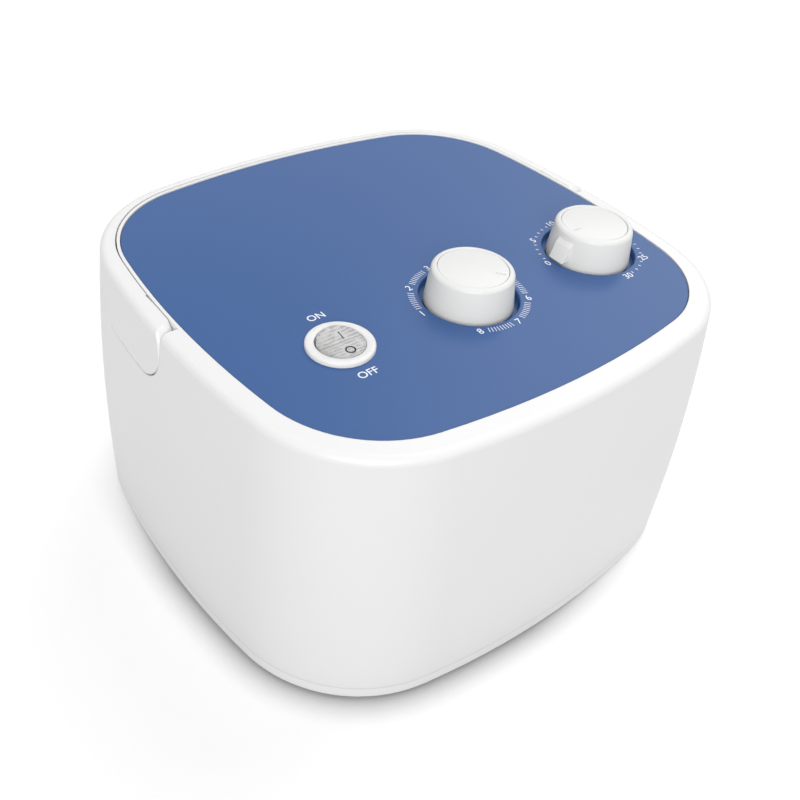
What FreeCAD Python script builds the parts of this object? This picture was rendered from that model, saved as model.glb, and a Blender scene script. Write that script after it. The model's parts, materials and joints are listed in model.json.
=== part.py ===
"""Compression therapy pump: a carry-handled air pump with a pressure dial and a timer.

Millimetres, +Z up. The origin is the centre of the footprint, on the surface that the feet
stand on. +X is the user's right and -Y is the front wall, so the carry handle folds to +Y.
"""
import FreeCAD, Part
import math
import os
import re
import Sketcher

Vector = FreeCAD.Vector
TURNED_TO = {
    "X": FreeCAD.Rotation(Vector(0, 1, 0), 90),
    "Y": FreeCAD.Rotation(Vector(1, 0, 0), -90),
    "Z": FreeCAD.Rotation(),
}

# ---------------------------------------------------------------------------------------
# Driving dimensions
# ---------------------------------------------------------------------------------------

DIMENSIONS = {
    # plan outline of the case, at the rim
    "half_width": 100.3,
    "half_depth": 95.1,
    "side_radius": 354.0,
    "end_radius": 348.0,
    "corner_radius": 50.2,
    # heights above the floor
    "foot_drop": 1.0,
    "seam_height": 6.4,
    "belly_height": 57.0,
    "rim_height": 111.7,
    # how far the walls stand out from the rim outline
    "seam_grow": 5.0,
    "belly_grow": 4.5,
    "shoulder_grow": 0.4,
    # shell
    "wall": 2.6,
    "deck": 2.5,
    "rim_round": 3.0,
    "base_round": 1.0,
    "floor_thickness": 2.5,
    "lip_rise": 4.0,
    "lip_thickness": 1.8,
    "lip_gap": 0.3,
    # control panel
    "panel_sink": 0.3,
    "panel_thickness": 2.0,
    "panel_inset": 7.6,
    "panel_shift": 1.2,
    "panel_gap": 0.15,
    "panel_edge_round": 0.4,
    # carry handle
    "border": 1.7,
    "handle_gap": 0.4,
    "swing_play": 0.27,
    "pivot_y": 15.5,
    "head_cover": 0.1,
    "ear_radius": 12.6,
    "rise_start": 37.0,
    "rise_end": 60.0,
    "grip_rise": 8.4,
    "ear_face_relief": 0.05,
    "ear_face_margin": 1.5,
    "ear_swing_margin": 0.4,
    "ear_skin": 2.2,
    "outer_round": 2.6,
    "outer_tilt": 11.5,
    "outer_stand": 2.8,
    "inner_round": 5.0,
    "inner_tilt": 12.5,
    "inner_stand": 2.9,
    "round_lean": 30.0,
    "pin_radius": 2.5,
    "pin_head_radius": 4.2,
    "pin_head_length": 2.5,
    "pin_bore_inset": 1.8,
    "pin_end_gap": 0.3,
    "pin_boss_radius": 6.4,
    "pin_boss_inset": 16.3,
    "running": 0.05,
    # finger scoop under the handle, at the back
    "scoop_width": 62.0,
    "scoop_height": 14.4,
    "scoop_inset": 8.6,
    # controls
    "control_inset": 63.1,
    "pressure_offset": 1.5,
    "timer_inset": 36.8,
    "switch_inset": 45.8,
    "well_radius": 18.2,
    "well_depth": 3.2,
    "cup_wall": 1.5,
    "deck_hole_gap": 0.4,
    "bushing_wall": 1.5,
    "bushing_hole_gap": 0.1,
    "nut_ring": 2.7,
    "nut_height": 2.4,
    "knob_foot_gap": 0.7,
    "knob_side_gap": 1.9,
    "knob_taper": 1.6,
    "knob_height": 11.6,
    "knob_round": 1.4,
    "knob_skirt": 1.9,
    "knob_crown": 3.6,
    "hub_wall": 2.6,
    "hub_bottom": 1.0,
    "cap_border": 2.1,
    "cap_groove": 0.2,
    "cap_thickness": 1.6,
    "cap_sink": 0.2,
    "mark_border": 1.2,
    "mark_length": 3.6,
    "mark_width": 0.8,
    "mark_depth": 0.4,
    "pressure_mark_angle": -52.6,
    "timer_mark_angle": 180.0,
    "pointer_stand": 2.3,
    "pointer_width": 7.0,
    "pointer_bottom": 0.7,
    "pointer_top": 8.4,
    "pointer_slope": 2.2,
    "pointer_chamfer": 1.5,
    "pointer_corner": 0.5,
    "shaft_radius": 3.0,
    "shaft_top": 7.0,
    "shaft_end_gap": 0.3,
    "timer_side": 40.0,
    "timer_depth": 28.0,
    "shaft_depth": 16.0,
    "regulator_radius": 14.0,
    "regulator_foot": 13.3,
    "nipple_offset": 6.0,
    "nipple_radius": 2.5,
    "nipple_bore": 1.5,
    "nipple_reach": 8.0,
    # rocker switch
    "flange_radius": 12.0,
    "flange_height": 1.7,
    "flange_chamfer": 0.8,
    "barrel_wall": 1.5,
    "flange_overhang": 2.0,
    "barrel_gap": 0.15,
    "barrel_depth": 15.0,
    "barrel_floor": 2.0,
    "rocker_gap": 0.65,
    "rocker_drop": 2.0,
    "rocker_middle": 1.4,
    "rocker_wing": 0.7,
    "rocker_tilt": 6.0,
    "rocker_bottom": 5.0,
    "trunnion_radius": 1.2,
    "trunnion_cover": 0.7,
    "blade_width": 4.8,
    "blade_thickness": 0.8,
    "blade_length": 8.0,
    "blade_spacing": 5.0,
    # rear panel and its frame in the housing
    "rear_inset": 4.1,
    "rear_thickness": 2.5,
    "rear_side": 3.2,
    "rear_bottom": 14.0,
    "rear_top": 68.0,
    "rear_gap": 0.3,
    "rear_ledge": 6.0,
    "rear_ledge_thickness": 2.5,
    "frame_wall": 2.4,
    "rear_screw_side": 8.7,
    "rear_screw_inset": 3.2,
    "connector_height": 36.0,
    "small_screw_radius": 1.2,
    "small_head_radius": 2.3,
    "small_head_height": 1.6,
    "small_screw_length": 9.0,
    "small_boss_radius": 3.4,
    "small_boss_depth": 6.0,
    "vent_count": 20,
    "vent_pitch": 5.2,
    "vent_width": 2.2,
    "vent_bottom": 52.5,
    "vent_top": 60.5,
    # mains inlet
    "inlet_flange_width": 31.0,
    "inlet_flange_height": 24.0,
    "flange_thickness": 2.5,
    "inlet_side_wall": 1.5,
    "inlet_top_wall": 1.7,
    "inlet_depth": 18.0,
    "inlet_floor": 4.5,
    "pocket_width": 24.0,
    "pocket_height": 16.4,
    "pin_spacing": 7.0,
    "pin_rise": 2.6,
    "inlet_pin_width": 2.0,
    "inlet_pin_height": 4.0,
    "inlet_pin_reach": 10.5,
    "inlet_pin_tail": 7.0,
    # fuse
    "fuse_to_inlet": 1.5,
    "fuse_flange_radius": 8.0,
    "fuse_body_radius": 6.0,
    "fuse_body_depth": 27.0,
    "fuse_cap_radius": 6.6,
    "fuse_cap_length": 5.0,
    "fuse_plug_radius": 3.4,
    "fuse_plug_length": 8.0,
    "fuse_radius": 2.5,
    "fuse_length": 16.0,
    "fuse_well_gap": 0.4,
    "fuse_flange_thickness": 2.0,
    "fuse_slot_width": 1.2,
    "fuse_slot_depth": 1.5,
    # air outlets
    "outlet_to_fuse": 2.5,
    "outlet_between": 2.0,
    "outlet_width": 35.0,
    "outlet_height": 16.0,
    "outlet_body_width": 31.0,
    "outlet_body_height": 12.0,
    "outlet_body_depth": 7.0,
    "outlet_step": 2.0,
    "port_pitch": 7.5,
    "port_radius": 2.6,
    "port_depth": 8.0,
    "spigot_radius": 2.0,
    "spigot_bore": 1.2,
    "spigot_reach": 8.0,
    "tube_wall": 1.1,
    "tube_slack": 0.05,
    # distributor
    "manifold_setback": 22.0,
    "manifold_thickness": 8.0,
    "manifold_end": 8.75,
    "manifold_inset": 27.3,
    "manifold_height": 12.0,
    "manifold_spigot": 5.0,
    "manifold_screw_grip": 12.0,
    "duct_depth": 3.0,
    "gallery_bore": 1.6,
    "post_width": 7.0,
    "valve_radius": 20.0,
    "valve_length": 16.0,
    "valve_face": 4.0,
    "valve_wall": 2.4,
    "rotor_side_gap": 0.6,
    "rotor_thickness": 5.0,
    "rotor_gap": 0.3,
    "rotor_port_x": 10.2,
    "rotor_port_width": 3.0,
    "rotor_port_height": 8.0,
    "rotor_port_depth": 2.0,
    "rotor_shaft_radius": 4.0,
    "rotor_shaft_tail": 7.0,
    "motor_radius": 18.0,
    "motor_length": 17.0,
    "cradle_width": 34.0,
    "cradle_wall": 13.0,
    "cradle_top": 27.0,
    "valve_inlet_setback": 8.0,
    # compressor
    "pump_side": 4.8,
    "pump_setback": 33.0,
    "plate_length": 98.0,
    "plate_width": 56.0,
    "plate_bottom": 14.0,
    "plate_thickness": 2.0,
    "plate_rim": 1.0,
    "bracket_width": 50.0,
    "bracket_hole": 12.0,
    "cylinder_radius": 22.0,
    "cylinder_length": 16.0,
    "cylinder_wall": 4.0,
    "cylinder_lift": 2.0,
    "chamber_depth": 10.0,
    "piston_setback": 2.0,
    "piston_thickness": 4.0,
    "armature_half": 22.0,
    "armature_width": 16.0,
    "armature_height": 24.0,
    "stud_radius": 3.0,
    "washer_radius": 6.0,
    "washer_thickness": 1.5,
    "magnet_thickness": 2.6,
    "magnet_length": 14.0,
    "magnet_height": 20.0,
    "magnet_offset": 10.0,
    "air_gap": 1.2,
    "core_half": 24.0,
    "core_leg": 5.0,
    "core_slot": 8.0,
    "core_yoke": 5.4,
    "core_height": 24.0,
    "coil_half": 15.0,
    "coil_height": 42.0,
    "coil_gap": 0.3,
    "collector_radius": 3.5,
    "collector_rise": 5.0,
    "collector_nipple": 10.0,
    "collector_overhang": 5.0,
    "supply_rise": 7.0,
    "supply_overhang": 3.0,
    "pad_width": 12.0,
    "pad_rise": 2.0,
    "mount_end": 7.0,
    "mount_side": 6.0,
    "mount_boss_radius": 5.0,
    "mount_boss_top": 8.5,
    "mount_radius": 7.0,
    "mount_waist": 4.6,
    "tube_lap": 6.0,
    "tube_turn_run": 29.0,
    "tube_fall": 2.0,
    # fasteners
    "screw_radius": 1.45,
    "pilot_radius": 1.5,
    "screw_hole_radius": 1.75,
    "screw_head_radius": 3.1,
    "screw_head_height": 2.2,
    "base_screw_side": 22.3,
    "base_screw_end": 29.1,
    "base_screw_length": 15.0,
    "counterbore_depth": 3.0,
    "base_boss_top": 8.0,
    "column_radius": 4.5,
    "column_gap": 0.2,
    # feet, filter, terminal block
    "foot_side": 38.3,
    "foot_end": 39.1,
    "foot_radius": 8.0,
    "foot_taper": 0.8,
    "foot_pocket": 0.6,
    "filter_offset": 30.0,
    "filter_inset": 45.1,
    "filter_length": 44.0,
    "filter_width": 34.0,
    "filter_height": 6.0,
    "fence": 1.6,
    "fence_height": 4.5,
    "slot_count": 6,
    "slot_pitch": 5.4,
    "slot_width": 2.4,
    "slot_length": 34.0,
    "terminal_offset": 22.0,
    "terminal_inset": 37.1,
    "terminal_length": 44.0,
    "terminal_width": 16.0,
    "terminal_height": 12.0,
    "terminal_stand": 4.0,
    "terminal_ways": 6,
    "terminal_pitch": 6.8,
    "terminal_hole": 1.9,
    "terminal_hole_depth": 6.0,
}

# Sizes and places that follow from the ones above, each from those before it
DERIVED = {
    # handle
    "pivot_height": "rim_height - panel_sink - panel_thickness - deck - pin_head_radius - head_cover",
    "grip_bottom": "pivot_height - ear_radius + grip_rise",
    "pin_bore_end": "half_width - pin_bore_inset",
    "pin_boss_end": "half_width - pin_boss_inset",
    "scoop_bottom": "grip_bottom - scoop_height",
    "scoop_face": "half_depth - scoop_inset",
    # controls
    "control_y": "control_inset - half_depth",
    "pressure_x": "pressure_offset",
    "timer_x": "half_width - timer_inset",
    "switch_x": "switch_inset - half_width",
    "bushing_radius": "shaft_radius + bushing_wall",
    "nut_radius": "bushing_radius + nut_ring",
    "hub_radius": "shaft_radius + hub_wall",
    "knob_base_radius": "well_radius - knob_side_gap",
    "knob_top_radius": "knob_base_radius - knob_taper",
    "cap_radius": "knob_top_radius - cap_border",
    "mark_inner": "cap_radius - mark_border - mark_length",
    "pointer_reach": "knob_base_radius + pointer_stand",
    "barrel_radius": "flange_radius - flange_overhang",
    "switch_opening": "barrel_radius - barrel_wall",
    "rocker_radius": "switch_opening - rocker_gap",
    "trunnion_reach": "barrel_radius - trunnion_cover",
    # rear panel, as wide as the connectors side by side
    "rear_face": "half_depth - rear_inset",
    "rear_half_width": "rear_side + fuse_flange_radius + outlet_width + (inlet_flange_width"
                       " + fuse_to_inlet + outlet_to_fuse + outlet_between) / 2",
    "rear_screw_x": "rear_half_width - rear_screw_side",
    "inlet_x": "rear_side + inlet_flange_width / 2 - rear_half_width",
    "inlet_body_width": "pocket_width + 2 * inlet_side_wall",
    "inlet_body_height": "pocket_height + 2 * inlet_top_wall",
    "fuse_x": "inlet_x + inlet_flange_width / 2 + fuse_to_inlet + fuse_flange_radius",
    "fuse_well_radius": "fuse_plug_radius + fuse_well_gap",
    "outlet_left_x": "fuse_x + fuse_flange_radius + outlet_to_fuse + outlet_width / 2",
    "outlet_right_x": "outlet_left_x + outlet_width + outlet_between",
    # distributor
    "manifold_back": "rear_face - manifold_setback",
    "manifold_front": "manifold_back - manifold_thickness",
    "manifold_left": "outlet_left_x - 1.5 * port_pitch - manifold_end",
    "manifold_right": "half_width - manifold_inset",
    "valve_x": "manifold_right - post_width - valve_radius",
    "valve_inlet_y": "manifold_front - valve_inlet_setback",
    "rotor_radius": "valve_radius - valve_wall - rotor_side_gap",
    # compressor
    "pump_x": "pump_side + plate_length / 2 - half_width",
    "pump_y": "manifold_front - pump_setback",
    "pump_height": "plate_bottom + plate_thickness + cylinder_lift + cylinder_radius",
    "bracket_gap": "plate_length / 2 - plate_rim - cylinder_length - plate_thickness",
    "bracket_top": "pump_height + cylinder_radius",
    "collector_height": "bracket_top + pad_rise + collector_rise",
    "nipple_height": "collector_height + collector_nipple + supply_rise",
    "regulator_depth": "rim_height - panel_sink - well_depth - cup_wall - nipple_height"
                       " + regulator_foot",
    "mount_x": "plate_length / 2 - mount_end",
    "mount_y": "plate_width / 2 - mount_side",
    "tube_turn_y": "valve_inlet_y - tube_turn_run",
    # base
    "base_screw_x": "half_width - base_screw_side",
    "base_screw_y": "half_depth - base_screw_end",
    "foot_x": "half_width - foot_side",
    "foot_y": "half_depth - foot_end",
    "filter_x": "-filter_offset",
    "filter_y": "filter_inset - half_depth",
    "terminal_x": "terminal_offset",
    "terminal_y": "terminal_inset - half_depth",
}
SIZES = {**DIMENSIONS, **DERIVED}

doc = FreeCAD.newDocument("compression_therapy_pump")
sheet = doc.addObject("Spreadsheet::Sheet", "dims")
for row, (alias, content) in enumerate(SIZES.items(), start=1):
    sheet.set(f"A{row}", alias.replace("_", " "))
    sheet.set(f"B{row}", f"={content}")
    sheet.setAlias(f"B{row}", alias)
doc.recompute()

NODES = {}

# Heights and depths that several pieces share
PANEL_TOP = "(rim_height - panel_sink)"
DECK_TOP = "(rim_height - panel_sink - panel_thickness)"
DECK_UNDER = "(rim_height - panel_sink - panel_thickness - deck)"
WELL_FLOOR = "(rim_height - panel_sink - well_depth)"
CUP_UNDER = "(rim_height - panel_sink - well_depth - cup_wall)"
FLOOR_TOP = "(foot_drop + floor_thickness)"
HANDLE_INSET = "(panel_inset - border)"
CHANNEL_INSET = "(panel_inset - border + handle_gap)"
EAR_BOTTOM = "(pivot_height - ear_radius)"
HANDLE_TOP = "(pivot_height + ear_radius)"
PLATE_TOP = "(plate_bottom + plate_thickness)"
CORE_TIP = "(armature_width / 2 + magnet_thickness + air_gap)"
BRACKET_OUTER = "(bracket_gap + plate_thickness)"
BORE = "(cylinder_radius - cylinder_wall)"
PORT_OFFSETS = (-1.5, -0.5, 0.5, 1.5)


# ---------------------------------------------------------------------------------------
# Small helpers: every size is an expression over the sheet's aliases
# ---------------------------------------------------------------------------------------

def cell(text):
    """The expression text with each alias written as a reference to the sheet."""
    def reference(word):
        return f"dims.{word.group()}" if word.group() in SIZES else word.group()
    return re.sub(r"[a-z][a-z_]*", reference, str(text))


def value(text):
    """The present value of an expression over the sheet."""
    return float(sheet.evalExpression(cell(text)))


def bind(thing, **sizes):
    for name, text in sizes.items():
        thing.setExpression(name, cell(text))


def place(thing, x=0, y=0, z=0, turn=None):
    """Put an object at expressions x, y and z, after an optional turn."""
    thing.Placement = FreeCAD.Placement(Vector(), turn or FreeCAD.Rotation())
    for axis, text in zip("xyz", (x, y, z)):
        thing.setExpression(f"Placement.Base.{axis}", cell(text))
    return thing


def span(middle, width):
    """The low and high ends of a width centred on middle."""
    return f"({middle}) - ({width}) / 2", f"({middle}) + ({width}) / 2"


def block(name, x, y, z):
    """A box between the low and high ends given for each axis."""
    solid = doc.addObject("Part::Box", name)
    bind(solid, Length=f"({x[1]}) - ({x[0]})", Width=f"({y[1]}) - ({y[0]})",
         Height=f"({z[1]}) - ({z[0]})")
    return place(solid, x[0], y[0], z[0])


def rod(name, radius, start, length, axis="Z"):
    """A cylinder from its start point along +axis."""
    solid = doc.addObject("Part::Cylinder", name)
    bind(solid, Radius=radius, Height=length)
    return place(solid, *start, turn=TURNED_TO[axis])


def fuse(name, *pieces):
    joined = doc.addObject("Part::MultiFuse", name)
    joined.Shapes = list(pieces)
    return joined


def cut(name, base, *tools):
    """base with the tools taken away."""
    result = doc.addObject("Part::Cut", name)
    result.Base = base
    result.Tool = tools[0] if len(tools) == 1 else fuse(f"{name}_tools", *tools)
    return result


def common(name, *pieces):
    result = doc.addObject("Part::MultiCommon", name)
    result.Shapes = list(pieces)
    return result


def group(name, pieces):
    """Separate solids kept together as one sub-part."""
    result = doc.addObject("Part::Compound", name)
    result.Links = list(pieces)
    return result


def rounded(name, base, radius, chosen):
    """base with a fillet on each edge for which chosen(edge) is true."""
    doc.recompute()
    result = doc.addObject("Part::Fillet", name)
    result.Base = base
    size = value(radius)
    edges = enumerate(base.Shape.Edges, start=1)
    result.Edges = [(i, size, size) for i, edge in edges if chosen(edge)]
    return result


def is_level(height):
    """A test for edges that lie flat at a height."""
    level = value(height)

    def test(edge):
        box = edge.BoundBox
        return abs(box.ZMin - level) < 1e-3 and abs(box.ZMax - level) < 1e-3
    return test


def is_ring(radius, height):
    """A test for round edges of a radius at a height."""
    size = value(radius)
    level = is_level(height)

    def test(edge):
        curve = edge.Curve
        return level(edge) and isinstance(curve, Part.Circle) and abs(curve.Radius - size) < 1e-3
    return test


def node(label, thing):
    """Name an object as a finished sub-part."""
    thing.Label = label
    NODES[label] = thing
    return thing


def arc_middle(start, end, radius):
    """Centre of the shorter arc from start to end; a positive radius turns left."""
    chord = end - start
    half = chord.Length / 2
    rise = math.sqrt(max(radius * radius - half * half, 0.0))
    side = Vector(-chord.y, chord.x, 0).normalize()
    return (start + end) / 2 + side * (rise if radius > 0 else -rise)


def add_segment(sketch, start, end, radius):
    """A straight or round stretch of an outline; returns which of its ends is the start."""
    if radius == 0:
        sketch.addGeometry(Part.LineSegment(start, end), False)
        return 1
    middle = arc_middle(start, end, radius)
    first, last = (start, end) if radius > 0 else (end, start)
    angles = [math.atan2(point.y - middle.y, point.x - middle.x) for point in (first, last)]
    if angles[1] < angles[0]:
        angles[1] += 2 * math.pi
    circle = Part.Circle(middle, Vector(0, 0, 1), abs(radius))
    sketch.addGeometry(Part.ArcOfCircle(circle, *angles), False)
    return 1 if radius > 0 else 2


def name_constraint(sketch, constraint, name, text):
    index = sketch.addConstraint(constraint)
    sketch.renameConstraint(index, name)
    sketch.setExpression(f"Constraints.{name}", cell(text))


def draw_profile(sketch, points):
    """A closed outline through points (u, v) or (u, v, radius of the arc to the next point)."""
    spots = [Vector(value(point[0]), value(point[1]), 0) for point in points]
    radii = [value(point[2]) if len(point) > 2 else 0 for point in points]
    count = len(points)
    starts = [add_segment(sketch, spots[i], spots[(i + 1) % count], radii[i]) for i in range(count)]
    for i in range(count):
        follower = (i + 1) % count
        sketch.addConstraint(Sketcher.Constraint("Coincident", i, 3 - starts[i], follower,
                                                 starts[follower]))
    for i, point in enumerate(points):
        across = Sketcher.Constraint("DistanceX", -1, 1, i, starts[i], spots[i].x)
        up = Sketcher.Constraint("DistanceY", -1, 1, i, starts[i], spots[i].y)
        name_constraint(sketch, across, f"across{i}", point[0])
        name_constraint(sketch, up, f"up{i}", point[1])
        if radii[i]:
            name_constraint(sketch, Sketcher.Constraint("Radius", i, abs(radii[i])), f"bend{i}",
                            f"abs({point[2]})")


def turned(name, points):
    """A body turned about its own Z from a half profile of (radius, height) points."""
    body = doc.addObject("PartDesign::Body", name)
    sketch = body.newObject("Sketcher::SketchObject", f"{name}_profile")
    sketch.AttachmentSupport = [(body_plane(body, "XZ_Plane"), "")]
    sketch.MapMode = "FlatFace"
    draw_profile(sketch, points)
    turn = body.newObject("PartDesign::Revolution", f"{name}_turn")
    turn.Profile = sketch
    turn.ReferenceAxis = (sketch, ["V_Axis"])
    turn.Angle = 360
    doc.recompute()
    return body


def padded(name, points, height):
    """A body whose outline of (x, y) points is padded up from its own XY plane."""
    body = doc.addObject("PartDesign::Body", name)
    sketch = body.newObject("Sketcher::SketchObject", f"{name}_outline")
    sketch.AttachmentSupport = [(body_plane(body, "XY_Plane"), "")]
    sketch.MapMode = "FlatFace"
    draw_profile(sketch, points)
    pad = body.newObject("PartDesign::Pad", f"{name}_pad")
    pad.Profile = sketch
    bind(pad, Length=height)
    doc.recompute()
    return body


def body_plane(body, role):
    return next(plane for plane in body.Origin.OriginFeatures if plane.Role == role)


def side_prism(name, points, half_length):
    """A (y, z) outline swept along X, from -half_length to +half_length."""
    sketch = doc.addObject("Sketcher::SketchObject", f"{name}_outline")
    upright = FreeCAD.Rotation(Vector(0, 1, 0), Vector(0, 0, 1), Vector(1, 0, 0), "ZXY")
    place(sketch, x=f"-({half_length})", turn=upright)
    draw_profile(sketch, points)
    prism = doc.addObject("Part::Extrusion", name)
    prism.Base = sketch
    prism.DirMode = "Custom"
    prism.Dir = Vector(1, 0, 0)
    prism.Solid = True
    bind(prism, LengthFwd=f"2 * ({half_length})")
    return prism


# ---------------------------------------------------------------------------------------
# The case outline: four shallow side arcs joined by four tangent corner arcs
# ---------------------------------------------------------------------------------------

def corner_middle():
    """Centre of the corner arc that is tangent inside a side arc and an end arc."""
    side_run = value("side_radius - corner_radius")
    end_run = value("end_radius - corner_radius")
    side_x = value("half_width - side_radius")
    end_y = value("half_depth - end_radius")
    apart = math.hypot(side_x, end_y)
    along = (side_run ** 2 - end_run ** 2 + apart ** 2) / (2 * apart)
    off = math.sqrt(side_run ** 2 - along ** 2)
    unit = Vector(-side_x / apart, end_y / apart, 0)
    return Vector(side_x, 0, 0) + unit * along + Vector(-unit.y, unit.x, 0) * off


def case_outline(name, grow, height, shift="0"):
    """The outline as a sketch, grown outwards, at a height and shifted to the back."""
    more = value(grow)
    side_x = value("side_radius - half_width")
    end_y = value("end_radius - half_depth")
    names = ("side_radius", "corner_radius", "end_radius", "corner_radius")
    radii = [value(text) + more for text in names]
    corner = corner_middle()
    side_angle = math.atan2(corner.y, corner.x + side_x)
    end_angle = math.pi / 2 - math.atan2(corner.x, corner.y + end_y)
    sketch = doc.addObject("Sketcher::SketchObject", name)
    for quarter in range(2):
        flip = -1 if quarter else 1
        turn = math.pi * quarter
        middles = [
            Vector(-side_x * flip, 0, 0),
            corner * flip,
            Vector(0, -end_y * flip, 0),
            Vector(-corner.x * flip, corner.y * flip, 0),
        ]
        edges = [-side_angle, side_angle, end_angle, math.pi - end_angle, math.pi - side_angle]
        for i, middle in enumerate(middles):
            circle = Part.Circle(middle, Vector(0, 0, 1), radii[i])
            sketch.addGeometry(Part.ArcOfCircle(circle, edges[i] + turn, edges[i + 1] + turn), False)
    for i in range(8):
        sketch.addConstraint(Sketcher.Constraint("Tangent", i, 2, (i + 1) % 8, 1))
    for arc, axis in ((0, -1), (4, -1), (2, -2), (6, -2)):
        sketch.addConstraint(Sketcher.Constraint("PointOnObject", arc, 3, axis))
    for first, second in ((0, 4), (2, 6), (1, 3), (3, 5), (5, 7)):
        sketch.addConstraint(Sketcher.Constraint("Equal", first, second))
    bound = [
        (("Radius", 0, radii[0]), "side", f"side_radius + ({grow})"),
        (("Radius", 2, radii[2]), "end", f"end_radius + ({grow})"),
        (("Radius", 1, radii[1]), "corner", f"corner_radius + ({grow})"),
        (("DistanceX", 0, 3, -1, 1, side_x), "right_middle", "side_radius - half_width"),
        (("DistanceX", -1, 1, 4, 3, side_x), "left_middle", "side_radius - half_width"),
        (("DistanceY", 2, 3, -1, 1, end_y), "back_middle", "end_radius - half_depth"),
        (("DistanceY", -1, 1, 6, 3, end_y), "front_middle", "end_radius - half_depth"),
    ]
    for arguments, label, text in bound:
        name_constraint(sketch, Sketcher.Constraint(*arguments), label, text)
    return place(sketch, y=shift, z=height)


def case_prism(name, grow, low, high, shift="0"):
    """The outline, grown, as an upright prism between two heights."""
    prism = doc.addObject("Part::Extrusion", name)
    prism.Base = case_outline(f"{name}_outline", grow, low, shift)
    prism.DirMode = "Custom"
    prism.Dir = Vector(0, 0, 1)
    prism.Solid = True
    bind(prism, LengthFwd=f"({high}) - ({low})")
    return prism


def case_loft(name, sections):
    """A solid through outlines given as (grow, height)."""
    loft = doc.addObject("Part::Loft", name)
    loft.Sections = [case_outline(f"{name}_{i}", *section) for i, section in enumerate(sections)]
    loft.Solid = True
    loft.Ruled = False
    return loft


# ---------------------------------------------------------------------------------------
# Carry handle and the channel it lies in
# ---------------------------------------------------------------------------------------

def handle_profile(gap, front):
    """Side view of the handle's band: round ears about the pivot, a slimmer grip at the back."""
    rise = "(grip_bottom - pivot_height + ear_radius)"
    run = "(rise_end - rise_start)"
    bend = f"({run} * {run} + {rise} * {rise}) / (4 * {rise})"
    low = f"{EAR_BOTTOM} - ({gap})"
    reach = f"(ear_radius + ({gap}))"
    outline = [
        ("pivot_y", low),
        ("rise_start", low, bend),
        ("(rise_start + rise_end) / 2", f"{low} + {rise} / 2", f"-({bend})"),
        ("rise_end", f"grip_bottom - ({gap})"),
        ("half_depth + 20", f"grip_bottom - ({gap})"),
        ("half_depth + 20", f"{HANDLE_TOP} + ({gap})"),
    ]
    if front == "round":
        outline += [
            ("pivot_y", f"{HANDLE_TOP} + ({gap})", reach),
            (f"pivot_y - {reach}", "pivot_height", reach),
        ]
    else:
        outline += [
            (f"pivot_y - {reach}", f"{HANDLE_TOP} + ({gap})"),
            (f"pivot_y - {reach}", "pivot_height", reach),
        ]
    return outline


def make_case_outer():
    """The outside of the case above the seam, with its rounded rim."""
    outer = case_loft("case_outer", [
        ("seam_grow", "seam_height"),
        ("belly_grow", "belly_height"),
        ("0", "rim_height"),
    ])
    return rounded("case_outer_round", outer, "rim_round", is_level("rim_height"))


def make_handle(case_outer):
    band = side_prism("handle_band", handle_profile("0", "round"), "half_width + 20")
    blank = common("handle_blank", case_outer, band)
    core = case_prism("handle_core", f"-{HANDLE_INSET}", "0", "rim_height + 5",
                      "panel_shift + swing_play")
    bore = rod("handle_bore", "pin_radius + running", ("-pin_bore_end", "pivot_y", "pivot_height"),
               "2 * pin_bore_end", "X")
    face = f"(half_width - {HANDLE_INSET} - ear_face_relief)"
    disc = rod("ear_disc", "ear_radius + ear_face_margin", (f"-{face}", "pivot_y", "pivot_height"),
               f"2 * {face}", "X")
    skin = block("ear_skin", (f"-{face} - 1", f"{face} + 1"), ("0", "half_depth"),
                 ("rim_height - ear_skin", "rim_height + 5"))
    relief = cut("ear_faces", disc, skin)
    swing = f"(half_width - {CHANNEL_INSET} + running)"
    skin_relief = rod("ear_swing", "ear_radius + ear_swing_margin", (f"-{swing}", "pivot_y", "pivot_height"),
                      f"2 * {swing}", "X")
    rounds = []
    for i, side in enumerate((-1, 1)):
        rounds.append(ear_round(f"ear_outer_round_{i}", side, "half_width + outer_stand", "outer_round",
                                "outer_tilt"))
        rounds.append(ear_round(f"ear_inner_round_{i}", -side, f"inner_stand - {face}", "inner_round",
                                "inner_tilt"))
    shell = cut("handle_shell", blank, core)
    node("carry_handle", cut("carry_handle", shell, bore, relief, skin_relief, *rounds))


def ear_round(name, side, away, radius, tilt):
    """What a round takes off an ear's front edge: nothing at its foot, most where it meets the rim."""
    edge = "(ear_radius + running)"
    ring = turned(f"{name}_ring", [
        (f"{edge} - {radius}", "0", f"-{radius}"),
        (edge, f"-{radius}"),
        (f"{edge} + 2 * {radius}", f"-{radius}"),
        (f"{edge} + 2 * {radius}", "2 * outer_round"),
        (f"{edge} - {radius}", "2 * outer_round"),
    ])
    lean, slope = math.radians(value("round_lean")), math.radians(value(tilt))
    up, forward = math.cos(lean), -math.sin(lean)
    facing = Vector(side * math.cos(slope), forward * math.sin(slope), up * math.sin(slope))
    shift = f"({radius} * sin({tilt}) + ear_radius * (1 - cos({tilt})))"
    turned_ring = place(group(f"{name}_set", [ring]), f"{side} * ({away})",
                        f"pivot_y + {forward} * {shift}", f"pivot_height + {up} * {shift}",
                        FreeCAD.Rotation(Vector(0, 0, 1), facing))
    front = block(f"{name}_front", ("-half_width - 20", "half_width + 20"), ("-pivot_y", "pivot_y"),
                  (EAR_BOTTOM + " - 5", "rim_height + 10"))
    return common(name, turned_ring, front)


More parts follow.
